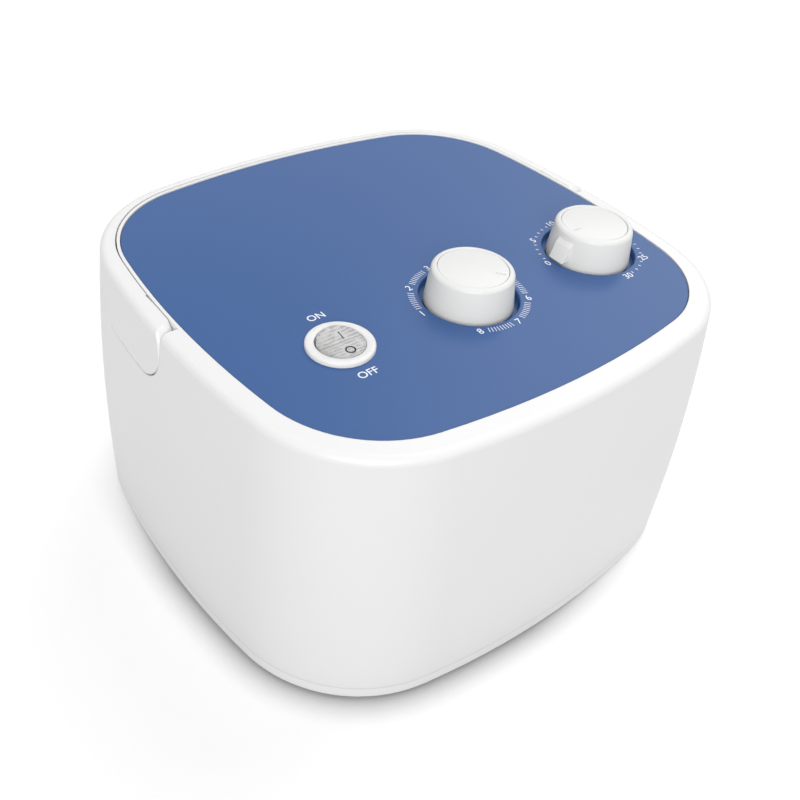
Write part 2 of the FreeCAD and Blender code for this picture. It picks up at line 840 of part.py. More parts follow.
def make_handle_pins():
    """Shoulder pins: the head bears inside the housing and the shank carries the handle."""
    shank = "(pin_bore_end - pin_end_gap - pin_boss_end)"
    head = "pin_boss_end - pin_head_length"
    spot = ("pivot_y", "pivot_height")
    right = fuse("pin_right",
                 rod("pin_right_head", "pin_head_radius", (head, *spot), "pin_head_length", "X"),
                 rod("pin_right_shank", "pin_radius", ("pin_boss_end", *spot), shank, "X"))
    left = fuse("pin_left",
                rod("pin_left_head", "pin_head_radius", ("-pin_boss_end", *spot), "pin_head_length",
                    "X"),
                rod("pin_left_shank", "pin_radius", (f"-pin_boss_end - {shank}", *spot), shank, "X"))
    node("handle_pin_right", right)
    node("handle_pin_left", left)


# ---------------------------------------------------------------------------------------
# Case: housing, base cover, control panel, rear panel
# ---------------------------------------------------------------------------------------

def make_cavity():
    """The room inside the housing, stepped in behind the handle, the rear panel and the scoop."""
    room = case_loft("cavity_loft", [
        ("seam_grow - wall", "seam_height - 1"),
        ("belly_grow - wall", "belly_height"),
        ("shoulder_grow - wall", DECK_UNDER),
    ])
    wide = ("-half_width - 20", "half_width + 20")
    backing_zone = block("backing_zone", wide,
                         ("pivot_y - ear_radius - handle_gap - wall", "half_depth + 20"),
                         (f"{EAR_BOTTOM} - handle_gap - wall", "rim_height"))
    backing_core = case_prism("backing_core", f"-({CHANNEL_INSET} + wall)", EAR_BOTTOM + " - 20",
                              "rim_height + 5", "panel_shift")
    backing = cut("handle_backing", backing_zone, backing_core)
    frame = block("rear_frame", ("-rear_half_width - rear_gap - frame_wall",
                                 "rear_half_width + rear_gap + frame_wall"),
                  ("rear_face - rear_thickness - rear_ledge_thickness", "half_depth + 20"),
                  ("rear_bottom - rear_gap - frame_wall", "rear_top + rear_gap + frame_wall"))
    scoop = block("scoop_backing", span("0", "scoop_width + 2 * wall"),
                  ("scoop_face - wall", "half_depth + 20"),
                  ("scoop_bottom - wall", "rim_height"))
    bosses = [rod(f"rear_boss_{i}", "small_boss_radius",
                  (x, "rear_face - rear_thickness - small_boss_depth", z), "small_boss_depth", "Y")
              for i, (x, z) in enumerate(rear_screw_spots())]
    columns = [rod(f"column_{i}", "column_radius", (x, y, "base_boss_top + column_gap"),
                   "rim_height - base_boss_top - column_gap")
               for i, (x, y) in enumerate(base_screw_spots())]
    pin_bosses = [rod(f"pin_boss_{side}", "pin_boss_radius", (x, "pivot_y", "pivot_height"),
                      "half_width - pin_boss_end", "X")
                  for side, x in (("right", "pin_boss_end"), ("left", "-half_width"))]
    return cut("cavity", room, backing, frame, scoop, *bosses, *columns, *pin_bosses)


def rear_screw_spots():
    return [(x, z) for x in ("-rear_screw_x", "rear_screw_x")
            for z in ("rear_bottom + rear_screw_inset", "rear_top - rear_screw_inset")]


def base_screw_spots():
    return [(x, y) for x in ("-base_screw_x", "base_screw_x") for y in ("-base_screw_y", "base_screw_y")]


def make_housing(case_outer):
    band = side_prism("channel_band", handle_profile("handle_gap", "square"), "half_width + 20")
    core = case_prism("channel_core", f"-{CHANNEL_INSET}", "0", "rim_height + 20", "panel_shift")
    channel = cut("handle_channel", band, core)
    recess = case_prism("panel_recess", "-panel_inset + panel_gap", DECK_TOP, "rim_height + 5",
                        "panel_shift")
    rear_hole = block("rear_rebate", ("-rear_half_width - rear_gap", "rear_half_width + rear_gap"),
                      ("rear_face - rear_thickness", "half_depth + 20"),
                      ("rear_bottom - rear_gap", "rear_top + rear_gap"))
    rear_window = block("rear_window", ("-rear_half_width + rear_ledge / 2",
                                        "rear_half_width - rear_ledge / 2"),
                        ("rear_face - rear_thickness - rear_ledge_thickness - 1", "rear_face"),
                        ("rear_bottom + rear_ledge", "rear_top - rear_ledge"))
    scoop = block("finger_scoop", span("0", "scoop_width"), ("scoop_face", "half_depth + 20"),
                  ("scoop_bottom", "grip_bottom"))
    cup_holes = [rod(f"cup_hole_{i}", "well_radius + cup_wall + deck_hole_gap",
                     (x, "control_y", f"{DECK_UNDER} - 1"), "deck + 2")
                 for i, x in enumerate(("pressure_x", "timer_x"))]
    switch_hole = rod("switch_deck_hole", "barrel_radius + deck_hole_gap",
                      ("switch_x", "control_y", f"{DECK_UNDER} - 1"), "deck + 2")
    pin_bore = rod("pin_bore", "pin_radius + running", ("-half_width", "pivot_y", "pivot_height"),
                   "2 * half_width", "X")
    pilots = [rod(f"base_pilot_{i}", "pilot_radius", (x, y, "base_boss_top"), "base_screw_length")
              for i, (x, y) in enumerate(base_screw_spots())]
    pilots += [rod(f"rear_pilot_{i}", "small_screw_radius + running",
                   (x, "rear_face - small_screw_length - 0.5", z), "small_screw_length", "Y")
               for i, (x, z) in enumerate(rear_screw_spots())]
    node("housing", cut("housing", case_outer, make_cavity(), channel, recess, rear_hole, rear_window,
                        scoop, *cup_holes, switch_hole, pin_bore, *pilots))


def make_base_cover():
    """A tray whose upstand locates inside the housing, with every boss that the inside stands on."""
    tray = case_prism("tray", "seam_grow", "foot_drop", "seam_height")
    shell = rounded("tray_round", tray, "base_round", is_level("foot_drop"))
    hollow = case_prism("tray_hollow", "seam_grow - wall - lip_gap - lip_thickness", FLOOR_TOP,
                        "seam_height + lip_rise + 1")
    lip = case_prism("tray_lip", "seam_grow - wall - lip_gap", "seam_height", "seam_height + lip_rise")
    walls = cut("tray_walls", fuse("tray_blank", shell, lip), hollow)
    bosses = [rod(f"base_boss_{i}", "mount_boss_radius", (x, y, "foot_drop + 1"),
                  "base_boss_top - foot_drop - 1")
              for i, (x, y) in enumerate(base_screw_spots())]
    bosses += [rod(f"mount_boss_{i}", "mount_boss_radius", (x, y, "foot_drop + 1"),
                   "mount_boss_top - foot_drop - 1")
               for i, (x, y) in enumerate(mount_spots())]
    posts = [block(f"manifold_post_{i}", x, ("manifold_front", "manifold_back"),
                   ("foot_drop + 1", "connector_height - manifold_height / 2"))
             for i, x in enumerate(post_spans())]
    stand_spots = ("terminal_x - terminal_length / 3", "terminal_x + terminal_length / 3")
    stands = [block(f"terminal_stand_{i}", span(x, "fence * 3"), span("terminal_y", "terminal_width"),
                    ("foot_drop + 1", f"{FLOOR_TOP} + terminal_stand"))
              for i, x in enumerate(stand_spots)]
    fence_z = ("foot_drop + 1", f"{FLOOR_TOP} + fence_height")
    fence = block("filter_fence", span("filter_x", "filter_length + 2 * fence + 2 * lip_gap"),
                  span("filter_y", "filter_width + 2 * fence + 2 * lip_gap"), fence_z)
    fence_room = block("filter_room", span("filter_x", "filter_length + 2 * lip_gap"),
                       span("filter_y", "filter_width + 2 * lip_gap"), (FLOOR_TOP, "seam_height + 20"))
    fence_ring = cut("filter_fence_ring", fence, fence_room)
    raised = fuse("base_raised", walls, *bosses, *posts, *stands, fence_ring)
    holes = []
    for i, (x, y) in enumerate(base_screw_spots()):
        holes.append(rod(f"base_hole_{i}", "screw_hole_radius", (x, y, "0"), "base_boss_top + 1"))
        holes.append(rod(f"counterbore_{i}", "screw_head_radius + lip_gap", (x, y, "0"),
                         "foot_drop + counterbore_depth"))
    holes += [rod(f"mount_pilot_{i}", "pilot_radius", (x, y, "foot_drop + 2"), "mount_boss_top")
              for i, (x, y) in enumerate(mount_spots())]
    holes += [rod(f"post_pilot_{i}", "pilot_radius",
                  (x, y, "connector_height - manifold_height / 2 - manifold_screw_grip - 1"),
                  "manifold_screw_grip + 2")
              for i, (x, y) in enumerate(post_screw_spots())]
    holes += [rod(f"foot_pocket_{i}", "foot_radius + panel_gap", (x, y, "0"), "foot_drop + foot_pocket")
              for i, (x, y) in enumerate(foot_spots())]
    holes += [block(f"base_slot_{i}", span("filter_x", "slot_length"),
                    span(f"filter_y + ({i} - (slot_count - 1) / 2) * slot_pitch", "slot_width"),
                    ("0", f"{FLOOR_TOP} + 1"))
              for i in range(int(value("slot_count")))]
    node("base_cover", cut("base_cover", raised, *holes))


def make_control_panel():
    plate = case_prism("panel_plate", "-panel_inset", DECK_TOP, PANEL_TOP, "panel_shift")
    edge = rounded("panel_plate_round", plate, "panel_edge_round", is_level(PANEL_TOP))
    cups = [rod(f"cup_{i}", "well_radius + cup_wall", (x, "control_y", CUP_UNDER),
                f"{DECK_TOP} + 1 - {CUP_UNDER}")
            for i, x in enumerate(("pressure_x", "timer_x"))]
    wells = [rod(f"well_{i}", "well_radius", (x, "control_y", WELL_FLOOR), "well_depth + 1")
             for i, x in enumerate(("pressure_x", "timer_x"))]
    bushings = [rod(f"bushing_hole_{i}", "bushing_radius + bushing_hole_gap",
                    (x, "control_y", f"{CUP_UNDER} - 1"), "cup_wall + 2")
                for i, x in enumerate(("pressure_x", "timer_x"))]
    switch_hole = rod("switch_panel_hole", "barrel_radius + barrel_gap", ("switch_x", "control_y", "0"),
                      "rim_height + 5")
    blank = cut("panel_blank", fuse("panel_cups", edge, *cups), *wells, *bushings, switch_hole)
    node("control_panel", rounded("control_panel", blank, "panel_edge_round",
                                  is_ring("well_radius", PANEL_TOP)))


def make_rear_panel():
    plate = block("rear_plate", ("-rear_half_width", "rear_half_width"),
                  ("rear_face - rear_thickness", "rear_face"), ("rear_bottom", "rear_top"))
    through = ("rear_face - rear_thickness - 1", "rear_face + 1")
    inlet = block("rear_inlet_hole", span("inlet_x", "inlet_body_width + 2 * panel_gap"), through,
                  span("connector_height", "inlet_body_height + 2 * panel_gap"))
    fuse_hole = rod("rear_fuse_hole", "fuse_body_radius + panel_gap",
                    ("fuse_x", through[0], "connector_height"), "rear_thickness + 2", "Y")
    outlets = [block(f"rear_outlet_hole_{i}", span(x, "outlet_body_width + 2 * panel_gap"), through,
                     span("connector_height", "outlet_body_height + 2 * panel_gap"))
               for i, x in enumerate(("outlet_left_x", "outlet_right_x"))]
    screws = [rod(f"rear_screw_hole_{i}", "small_screw_radius + panel_gap", (x, through[0], z),
                  "rear_thickness + 2", "Y")
              for i, (x, z) in enumerate(rear_screw_spots())]
    vents = [block(f"rear_vent_{i}", span(f"({i} - (vent_count - 1) / 2) * vent_pitch", "vent_width"),
                   through, ("vent_bottom", "vent_top"))
             for i in range(int(value("vent_count")))]
    node("rear_panel", cut("rear_panel", plate, inlet, fuse_hole, *outlets, *screws, *vents))


# ---------------------------------------------------------------------------------------
# Fasteners, feet, filter, terminal block
# ---------------------------------------------------------------------------------------

def screw(name, spot, head_radius, head_height, radius, length, axis="Z", sign=1):
    """A cheese-head screw: spot is under the head, and sign points from the shank to the head."""
    index = "XYZ".index(axis)
    head_start, shank_start = list(spot), list(spot)
    if sign > 0:
        shank_start[index] = f"({spot[index]}) - ({length})"
    else:
        head_start[index] = f"({spot[index]}) - ({head_height})"
    return fuse(name, rod(f"{name}_head", head_radius, head_start, head_height, axis),
                rod(f"{name}_shank", radius, shank_start, length, axis))


def mount_spots():
    return [(f"pump_x + {x} * mount_x", f"pump_y + {y} * mount_y") for x in (-1, 1) for y in (-1, 1)]


def post_spans():
    return [("manifold_left", "manifold_left + post_width"),
            ("manifold_right - post_width", "manifold_right")]


def post_screw_spots():
    middle = "(manifold_front + manifold_back) / 2"
    return [("manifold_left + post_width / 2", middle), ("manifold_right - post_width / 2", middle)]


def foot_spots():
    return [(x, y) for x in ("-foot_x", "foot_x") for y in ("-foot_y", "foot_y")]


def make_fasteners():
    base = [screw(f"base_screw_{i}", (x, y, "foot_drop + counterbore_depth"), "screw_head_radius",
                  "screw_head_height", "screw_radius", "base_screw_length", "Z", -1)
            for i, (x, y) in enumerate(base_screw_spots())]
    node("base_screws", group("base_screws", base))
    rear = [screw(f"rear_screw_{i}", (x, "rear_face", z), "small_head_radius", "small_head_height",
                  "small_screw_radius", "small_screw_length", "Y", 1)
            for i, (x, z) in enumerate(rear_screw_spots())]
    node("rear_panel_screws", group("rear_panel_screws", rear))
    pump = [screw(f"pump_screw_{i}", (x, y, PLATE_TOP), "screw_head_radius", "screw_head_height",
                  "screw_radius", f"{PLATE_TOP} - foot_drop - 3")
            for i, (x, y) in enumerate(mount_spots())]
    node("compressor_screws", group("compressor_screws", pump))
    top = "connector_height + manifold_height / 2"
    manifold = [screw(f"manifold_screw_{i}", (x, y, top), "screw_head_radius", "screw_head_height",
                      "screw_radius", "manifold_height + manifold_screw_grip")
                for i, (x, y) in enumerate(post_screw_spots())]
    node("manifold_screws", group("manifold_screws", manifold))


def make_feet():
    feet = []
    for i, (x, y) in enumerate(foot_spots()):
        foot = doc.addObject("Part::Cone", f"foot_{i}")
        bind(foot, Radius1="foot_radius - foot_taper", Radius2="foot_radius",
             Height="foot_drop + foot_pocket")
        feet.append(place(foot, x, y, "0"))
    node("rubber_feet", group("rubber_feet", feet))


def make_vibration_mounts():
    """Waisted rubber bushes between the base bosses and the compressor's plate."""
    tall = "(plate_bottom - mount_boss_top)"
    bushes = []
    for i, (x, y) in enumerate(mount_spots()):
        bush = turned(f"bush_{i}", [
            ("screw_hole_radius", "0"),
            ("mount_radius", "0"),
            ("mount_radius", f"{tall} * 0.3"),
            ("mount_waist", f"{tall} * 0.4"),
            ("mount_waist", f"{tall} * 0.6"),
            ("mount_radius", f"{tall} * 0.7"),
            ("mount_radius", tall),
            ("screw_hole_radius", tall),
        ])
        bushes.append(place(bush, x, y, "mount_boss_top"))
    node("vibration_mounts", group("vibration_mounts", bushes))


def make_base_fittings():
    node("intake_filter", block("intake_filter", span("filter_x", "filter_length"),
                                span("filter_y", "filter_width"),
                                (FLOOR_TOP, f"{FLOOR_TOP} + filter_height")))
    bottom = f"({FLOOR_TOP} + terminal_stand)"
    strip = block("terminal_strip", span("terminal_x", "terminal_length"),
                  span("terminal_y", "terminal_width"), (bottom, f"{bottom} + terminal_height"))
    holes = [rod(f"terminal_hole_{i}_{side}", "terminal_hole",
                 (f"terminal_x + ({i} - (terminal_ways - 1) / 2) * terminal_pitch",
                  f"terminal_y + {side} * terminal_width / 4",
                  f"{bottom} + terminal_height - terminal_hole_depth"), "terminal_hole_depth + 1")
             for i in range(int(value("terminal_ways"))) for side in (-1, 1)]
    node("terminal_block", cut("terminal_block", strip, *holes))


# ---------------------------------------------------------------------------------------
# Controls on the panel
# ---------------------------------------------------------------------------------------

def knob_points():
    """Half profile of a knob, from the panel's surface up, hollow under its crown."""
    foot = "(knob_foot_gap - well_depth)"
    roof = "(knob_height - knob_crown)"
    return [
        ("shaft_radius + running", "hub_bottom"),
        ("hub_radius", "hub_bottom"),
        ("hub_radius", roof),
        ("knob_top_radius - knob_skirt", roof),
        ("knob_base_radius - knob_skirt", foot),
        ("knob_base_radius", foot),
        ("knob_top_radius", "knob_height - knob_round", "knob_round"),
        ("knob_top_radius - knob_round", "knob_height"),
        ("cap_radius + cap_groove", "knob_height"),
        ("cap_radius + cap_groove", "knob_height - cap_thickness"),
        ("0", "knob_height - cap_thickness"),
        ("0", "shaft_top + shaft_end_gap"),
        ("shaft_radius + running", "shaft_top + shaft_end_gap"),
    ]


def pointer_block():
    """The wedge on the timer knob's side, drawn in plan with its corners taken off."""
    half = "(pointer_width / 2)"
    plan = padded("pointer_plan", [
        ("knob_top_radius - knob_skirt / 2", f"-{half}"),
        ("pointer_reach - pointer_corner", f"-{half}"),
        ("pointer_reach", f"-{half} + pointer_corner"),
        ("pointer_reach", f"{half} - pointer_corner"),
        ("pointer_reach - pointer_corner", half),
        ("knob_top_radius - knob_skirt / 2", half),
    ], "pointer_top - pointer_bottom")
    place(plan, z="pointer_bottom")
    sketch = doc.addObject("Sketcher::SketchObject", "pointer_side_outline")
    place(sketch, y="pointer_width", turn=FreeCAD.Rotation(Vector(1, 0, 0), 90))
    draw_profile(sketch, [
        ("0", "pointer_bottom"),
        ("pointer_reach", "pointer_bottom"),
        ("pointer_reach - pointer_slope", "pointer_top - pointer_chamfer"),
        ("pointer_reach - pointer_slope - pointer_chamfer", "pointer_top"),
        ("0", "pointer_top"),
    ])
    side = doc.addObject("Part::Extrusion", "pointer_side")
    side.Base = sketch
    side.DirMode = "Custom"
    side.Dir = Vector(0, -1, 0)
    side.Solid = True
    bind(side, LengthFwd="2 * pointer_width")
    return common("pointer", plan, side)


def mark_cutter(name, angle):
    """The groove that marks a knob's cap, at an angle about the knob's axis."""
    groove = block(name, ("mark_inner", "mark_inner + mark_length"), span("0", "mark_width"),
                   ("knob_height - cap_sink - mark_depth", "knob_height + 1"))
    holder = group(f"{name}_turned", [groove])
    holder.Placement = FreeCAD.Placement(Vector(), FreeCAD.Rotation(Vector(0, 0, 1), value(angle)))
    return holder


def make_knob(name, x, mark_angle, pointer=None):
    """A knob and its inlaid cap, set over a dial well at x."""
    shell = turned(f"{name}_shell", knob_points())
    if pointer:
        holder = group(f"{name}_pointer", [pointer])
        holder.Placement = FreeCAD.Placement(Vector(),
                                             FreeCAD.Rotation(Vector(0, 0, 1), value(mark_angle)))
        shell = fuse(f"{name}_blank", shell, holder)
    cap = turned(f"{name}_cap_disc", [
        ("0", "knob_height - cap_thickness"),
        ("cap_radius", "knob_height - cap_thickness"),
        ("cap_radius", "knob_height - cap_sink - cap_groove"),
        ("cap_radius - cap_groove", "knob_height - cap_sink"),
        ("0", "knob_height - cap_sink"),
    ])
    marked = cut(f"{name}_cap_marked", cap, mark_cutter(f"{name}_mark", mark_angle))
    for label, piece in ((name, shell), (f"{name}_cap", marked)):
        holder = group(label, [piece])
        node(label, place(holder, x, "control_y", PANEL_TOP))


def make_shaft(name, x):
    """A round control shaft from inside its unit up into the knob's hub."""
    node(name, rod(name, "shaft_radius", (x, "control_y", f"{PANEL_TOP} - shaft_depth"),
                   "shaft_depth + shaft_top"))


def bushing_and_bore(name, x):
    """The bushing by which a unit hangs under its dial well, and its shaft's bore."""
    bushing = rod(f"{name}_bushing", "bushing_radius", (x, "control_y", f"{CUP_UNDER} - 1"),
                  f"{PANEL_TOP} - {CUP_UNDER} + 1")
    bore = rod(f"{name}_bore", "shaft_radius + running",
               (x, "control_y", f"{PANEL_TOP} - shaft_depth - 1"),
               "shaft_depth + 2")
    return bushing, bore


def make_timer():
    box = block("timer_box", span("timer_x", "timer_side"), span("control_y", "timer_side"),
                (f"{CUP_UNDER} - timer_depth", CUP_UNDER))
    bushing, bore = bushing_and_bore("timer", "timer_x")
    node("timer_unit", cut("timer_unit", fuse("timer_blank", box, bushing), bore))
    make_shaft("timer_shaft", "timer_x")


def make_regulator():
    barrel = rod("regulator_barrel", "regulator_radius",
                 ("pressure_x", "control_y", f"{CUP_UNDER} - regulator_depth"),
                 "regulator_depth")
    bushing, bore = bushing_and_bore("regulator", "pressure_x")
    nipples = []
    bores = [bore]
    for i, side in enumerate((-1, 1)):
        x = f"pressure_x + {side} * nipple_offset"
        nipples.append(rod(f"regulator_nipple_{i}", "nipple_radius", (x, "control_y", "nipple_height"),
                           "regulator_radius + nipple_reach", "Y"))
        bores.append(rod(f"regulator_port_{i}", "nipple_bore", (x, "control_y", "nipple_height"),
                         "regulator_radius + nipple_reach + 1", "Y"))
    node("regulator_body", cut("regulator_body", fuse("regulator_blank", barrel, bushing, *nipples),
                               *bores))
    make_shaft("regulator_shaft", "pressure_x")


def make_bushing_nuts():
    nuts = []
    for i, x in enumerate(("pressure_x", "timer_x")):
        hexagon = doc.addObject("Part::Prism", f"hexagon_{i}")
        hexagon.Polygon = 6
        bind(hexagon, Circumradius="nut_radius", Height="nut_height")
        place(hexagon, x, "control_y", WELL_FLOOR)
        hole = rod(f"nut_hole_{i}", "bushing_radius + running", (x, "control_y", f"{WELL_FLOOR} - 1"),
                   "nut_height + 2")
        nuts.append(cut(f"bushing_nut_{i}", hexagon, hole))
    node("bushing_nuts", group("bushing_nuts", nuts))


def make_switch():
    """Round rocker switch: ring and barrel, clear rocker on trunnions, blade terminals."""
    frame = turned("switch_ring", [
        ("0", "-barrel_depth"),
        ("barrel_radius", "-barrel_depth"),
        ("barrel_radius", "0"),
        ("flange_radius", "0"),
        ("flange_radius", "flange_height - flange_chamfer", "flange_chamfer"),
        ("flange_radius - flange_chamfer", "flange_height"),
        ("switch_opening + flange_chamfer / 2", "flange_height"),
        ("switch_opening", "flange_height - flange_chamfer / 2"),
        ("switch_opening", "barrel_floor - barrel_depth"),
        ("0", "barrel_floor - barrel_depth"),
    ])
    pivot = "-rocker_drop"
    seat = rod("trunnion_seat", "trunnion_radius + running", ("-trunnion_reach - 0.1", "0", pivot),
               "2 * trunnion_reach + 0.2", "X")
    node("switch_frame", place(group("switch_frame", [cut("switch_frame_seat", frame, seat)]),
                               "switch_x", "control_y", PANEL_TOP))
    middle = "(rocker_drop + rocker_middle)"
    wedge = side_prism("rocker_wedge", [
        ("-rocker_radius", "-rocker_bottom"),
        ("rocker_radius", "-rocker_bottom"),
        ("rocker_radius", f"{middle} + rocker_wing"),
        ("0", middle),
        ("-rocker_radius", f"{middle} + rocker_wing"),
    ], "rocker_radius + 1")
    outline = rod("rocker_outline", "rocker_radius", ("0", "0", "-rocker_bottom - 1"),
                  "2 * rocker_bottom + 4")
    sweep = rod("rocker_sweep", "rocker_radius + 0.1", ("-rocker_radius - 1", "0", "0"),
                "2 * rocker_radius + 2", "X")
    trunnions = rod("trunnions", "trunnion_radius", ("-trunnion_reach", "0", "0"), "2 * trunnion_reach",
                    "X")
    rocker = fuse("rocker_blank", common("rocker_top", wedge, outline, sweep), trunnions)
    tilted = group("switch_rocker", [rocker])
    place(tilted, "switch_x", "control_y", f"{PANEL_TOP} - rocker_drop",
          FreeCAD.Rotation(Vector(1, 0, 0), value("rocker_tilt")))
    node("switch_rocker", tilted)
    blades = [block(f"switch_blade_{i}", span("switch_x", "blade_width"),
                    span(f"control_y + {i} * blade_spacing", "blade_thickness"),
                    (f"{PANEL_TOP} - barrel_depth - blade_length", f"{PANEL_TOP} - barrel_depth"))
              for i in (-1, 0, 1)]
    node("switch_terminals", group("switch_terminals", blades))


# ---------------------------------------------------------------------------------------
# Connections on the rear panel
# ---------------------------------------------------------------------------------------

def make_mains_inlet():
    height = "connector_height"
    flange = block("inlet_flange", span("inlet_x", "inlet_flange_width"),
                   ("rear_face", "rear_face + flange_thickness"), span(height, "inlet_flange_height"))
    body = block("inlet_body", span("inlet_x", "inlet_body_width"),
                 ("rear_face - inlet_depth", "rear_face"),
                 span(height, "inlet_body_height"))
    pocket = block("inlet_pocket", span("inlet_x", "pocket_width"),
                   ("rear_face - inlet_depth + inlet_floor", "rear_face + flange_thickness + 1"),
                   span(height, "pocket_height"))
    spots = (("inlet_x - pin_spacing", f"{height} - pin_rise"), ("inlet_x", f"{height} + pin_rise"),
             ("inlet_x + pin_spacing", f"{height} - pin_rise"))
    floor_face = "rear_face - inlet_depth + inlet_floor"
    slots = [block(f"inlet_slot_{i}", span(x, "inlet_pin_width + 2 * running"),
                   ("rear_face - inlet_depth - 1", floor_face),
                   span(z, "inlet_pin_height + 2 * running"))
             for i, (x, z) in enumerate(spots)]
    node("mains_inlet", cut("mains_inlet", fuse("inlet_blank", flange, body), pocket, *slots))
    pins = [block(f"inlet_pin_{i}", span(x, "inlet_pin_width"),
                  ("rear_face - inlet_depth - inlet_pin_tail", f"{floor_face} + inlet_pin_reach"),
                  span(z, "inlet_pin_height"))
            for i, (x, z) in enumerate(spots)]
    node("inlet_pins", group("inlet_pins", pins))


def make_fuse():
    """A panel fuse holder, its quarter-turn cap with a plug, and the fuse the plug carries."""
    spot = ("fuse_x", "rear_face", "connector_height")
    back = ("fuse_x", "rear_face - fuse_body_depth", "connector_height")
    holder = fuse("fuse_blank",
                  rod("fuse_flange", "fuse_flange_radius", spot, "fuse_flange_thickness", "Y"),
                  rod("fuse_body", "fuse_body_radius", back, "fuse_body_depth", "Y"))
    well = rod("fuse_well", "fuse_well_radius",
               ("fuse_x", "rear_face - fuse_body_depth + 2", "connector_height"),
               "fuse_body_depth + 5", "Y")
    node("fuse_holder", cut("fuse_holder", holder, well))
    cap_start = "rear_face + fuse_flange_thickness + running"
    cap = rod("fuse_cap_disc", "fuse_cap_radius", ("fuse_x", cap_start, "connector_height"),
              "fuse_cap_length", "Y")
    plug = rod("fuse_plug", "fuse_plug_radius",
               ("fuse_x", f"{cap_start} - fuse_plug_length", "connector_height"),
               "fuse_plug_length", "Y")
    slot = block("fuse_cap_slot", span("fuse_x", "fuse_slot_width"),
                 (f"{cap_start} + fuse_cap_length - fuse_slot_depth",
                  f"{cap_start} + fuse_cap_length + 1"),
                 span("connector_height", "fuse_cap_radius * 1.5"))
    node("fuse_cap", cut("fuse_cap", fuse("fuse_cap_blank", cap, plug), slot))
    node("fuse", rod("fuse", "fuse_radius", ("fuse_x", f"{cap_start} - fuse_plug_length - fuse_length",
                                             "connector_height"), "fuse_length", "Y"))


def port_x(middle, offset):
    return f"{middle} + {offset} * port_pitch"


def make_outlet(name, middle):
    """A four-port air socket; its spigots point inwards to the tubes."""
    height = "connector_height"
    flange = block(f"{name}_flange", span(middle, "outlet_width"),
                   ("rear_face", "rear_face + outlet_step"),
                   span(height, "outlet_height"))
    body = block(f"{name}_body", span(middle, "outlet_body_width"),
                 ("rear_face - outlet_body_depth", "rear_face + 2 * outlet_step"),
                 span(height, "outlet_body_height"))
    back = "rear_face - outlet_body_depth"
    mouth = "rear_face + 2 * outlet_step"
    spigots, bores = [], []
    for i, offset in enumerate(PORT_OFFSETS):
        x = port_x(middle, offset)
        spigots.append(rod(f"{name}_spigot_{i}", "spigot_radius", (x, f"{back} - spigot_reach", height),
                           "spigot_reach + 1", "Y"))
        bores.append(rod(f"{name}_port_{i}", "port_radius", (x, f"{mouth} - port_depth", height),
                         "port_depth + 1", "Y"))
        bores.append(rod(f"{name}_duct_{i}", "spigot_bore", (x, f"{back} - spigot_reach - 1", height),
                         f"({mouth}) - ({back}) + spigot_reach", "Y"))
    node(name, cut(name, fuse(f"{name}_blank", flange, body, *spigots), *bores))


def make_outlet_tubes():
    """Eight short tubes pushed over the manifold's and the sockets' spigots."""
    start = "manifold_back + 1"
    length = "rear_face - outlet_body_depth - 1 - manifold_back - 1"
    tubes = []
    for side, middle in (("left", "outlet_left_x"), ("right", "outlet_right_x")):
        for i, offset in enumerate(PORT_OFFSETS):
            x = port_x(middle, offset)
            outer = rod(f"tube_{side}_{i}", "spigot_radius + tube_slack + tube_wall",
                        (x, start, "connector_height"), length, "Y")
            inner = rod(f"tube_bore_{side}_{i}", "spigot_radius + tube_slack",
                        (x, f"{start} - 1", "connector_height"), f"{length} + 2", "Y")
            tubes.append(cut(f"outlet_tube_{side}_{i}", outer, inner))
    node("outlet_tubes", group("outlet_tubes", tubes))


# ---------------------------------------------------------------------------------------
# Rotary distributor
# ---------------------------------------------------------------------------------------

def make_manifold():
    """The block with eight spigots whose front face the rotary valve seals against."""
    height = "connector_height"
    bar = block("manifold_bar", ("manifold_left", "manifold_right"), ("manifold_front", "manifold_back"),
                span(height, "manifold_height"))
    face = rod("manifold_face", "valve_radius", ("valve_x", "manifold_front", height),
               "manifold_back - manifold_front", "Y")
    spigots, ducts = [], []
    for side, middle in (("left", "outlet_left_x"), ("right", "outlet_right_x")):
        for i, offset in enumerate(PORT_OFFSETS):
            x = port_x(middle, offset)
            spigots.append(rod(f"manifold_spigot_{side}_{i}", "spigot_radius",
                               (x, "manifold_back - 1", height),
                               "manifold_spigot + 1", "Y"))
            ducts.append(rod(f"manifold_duct_{side}_{i}", "spigot_bore",
                             (x, "manifold_back - duct_depth", height),
                             "manifold_spigot + duct_depth + 1", "Y"))
    gallery = rod("manifold_gallery", "gallery_bore",
                  ("outlet_left_x - 1.5 * port_pitch - gallery_bore", "manifold_back - duct_depth",
                   height), "outlet_right_x - outlet_left_x + 3 * port_pitch + 2 * gallery_bore", "X")
    inlet = rod("manifold_inlet", "spigot_bore", ("valve_x", "manifold_front - 1", height),
                "manifold_back - manifold_front - 2", "Y")
    screws = [rod(f"manifold_screw_hole_{i}", "screw_hole_radius", (x, y, f"{height} - manifold_height"),
                  "2 * manifold_height")
              for i, (x, y) in enumerate(post_screw_spots())]
    node("air_manifold", cut("air_manifold", fuse("manifold_blank", bar, face, *spigots),
                             *ducts, gallery, inlet, *screws))


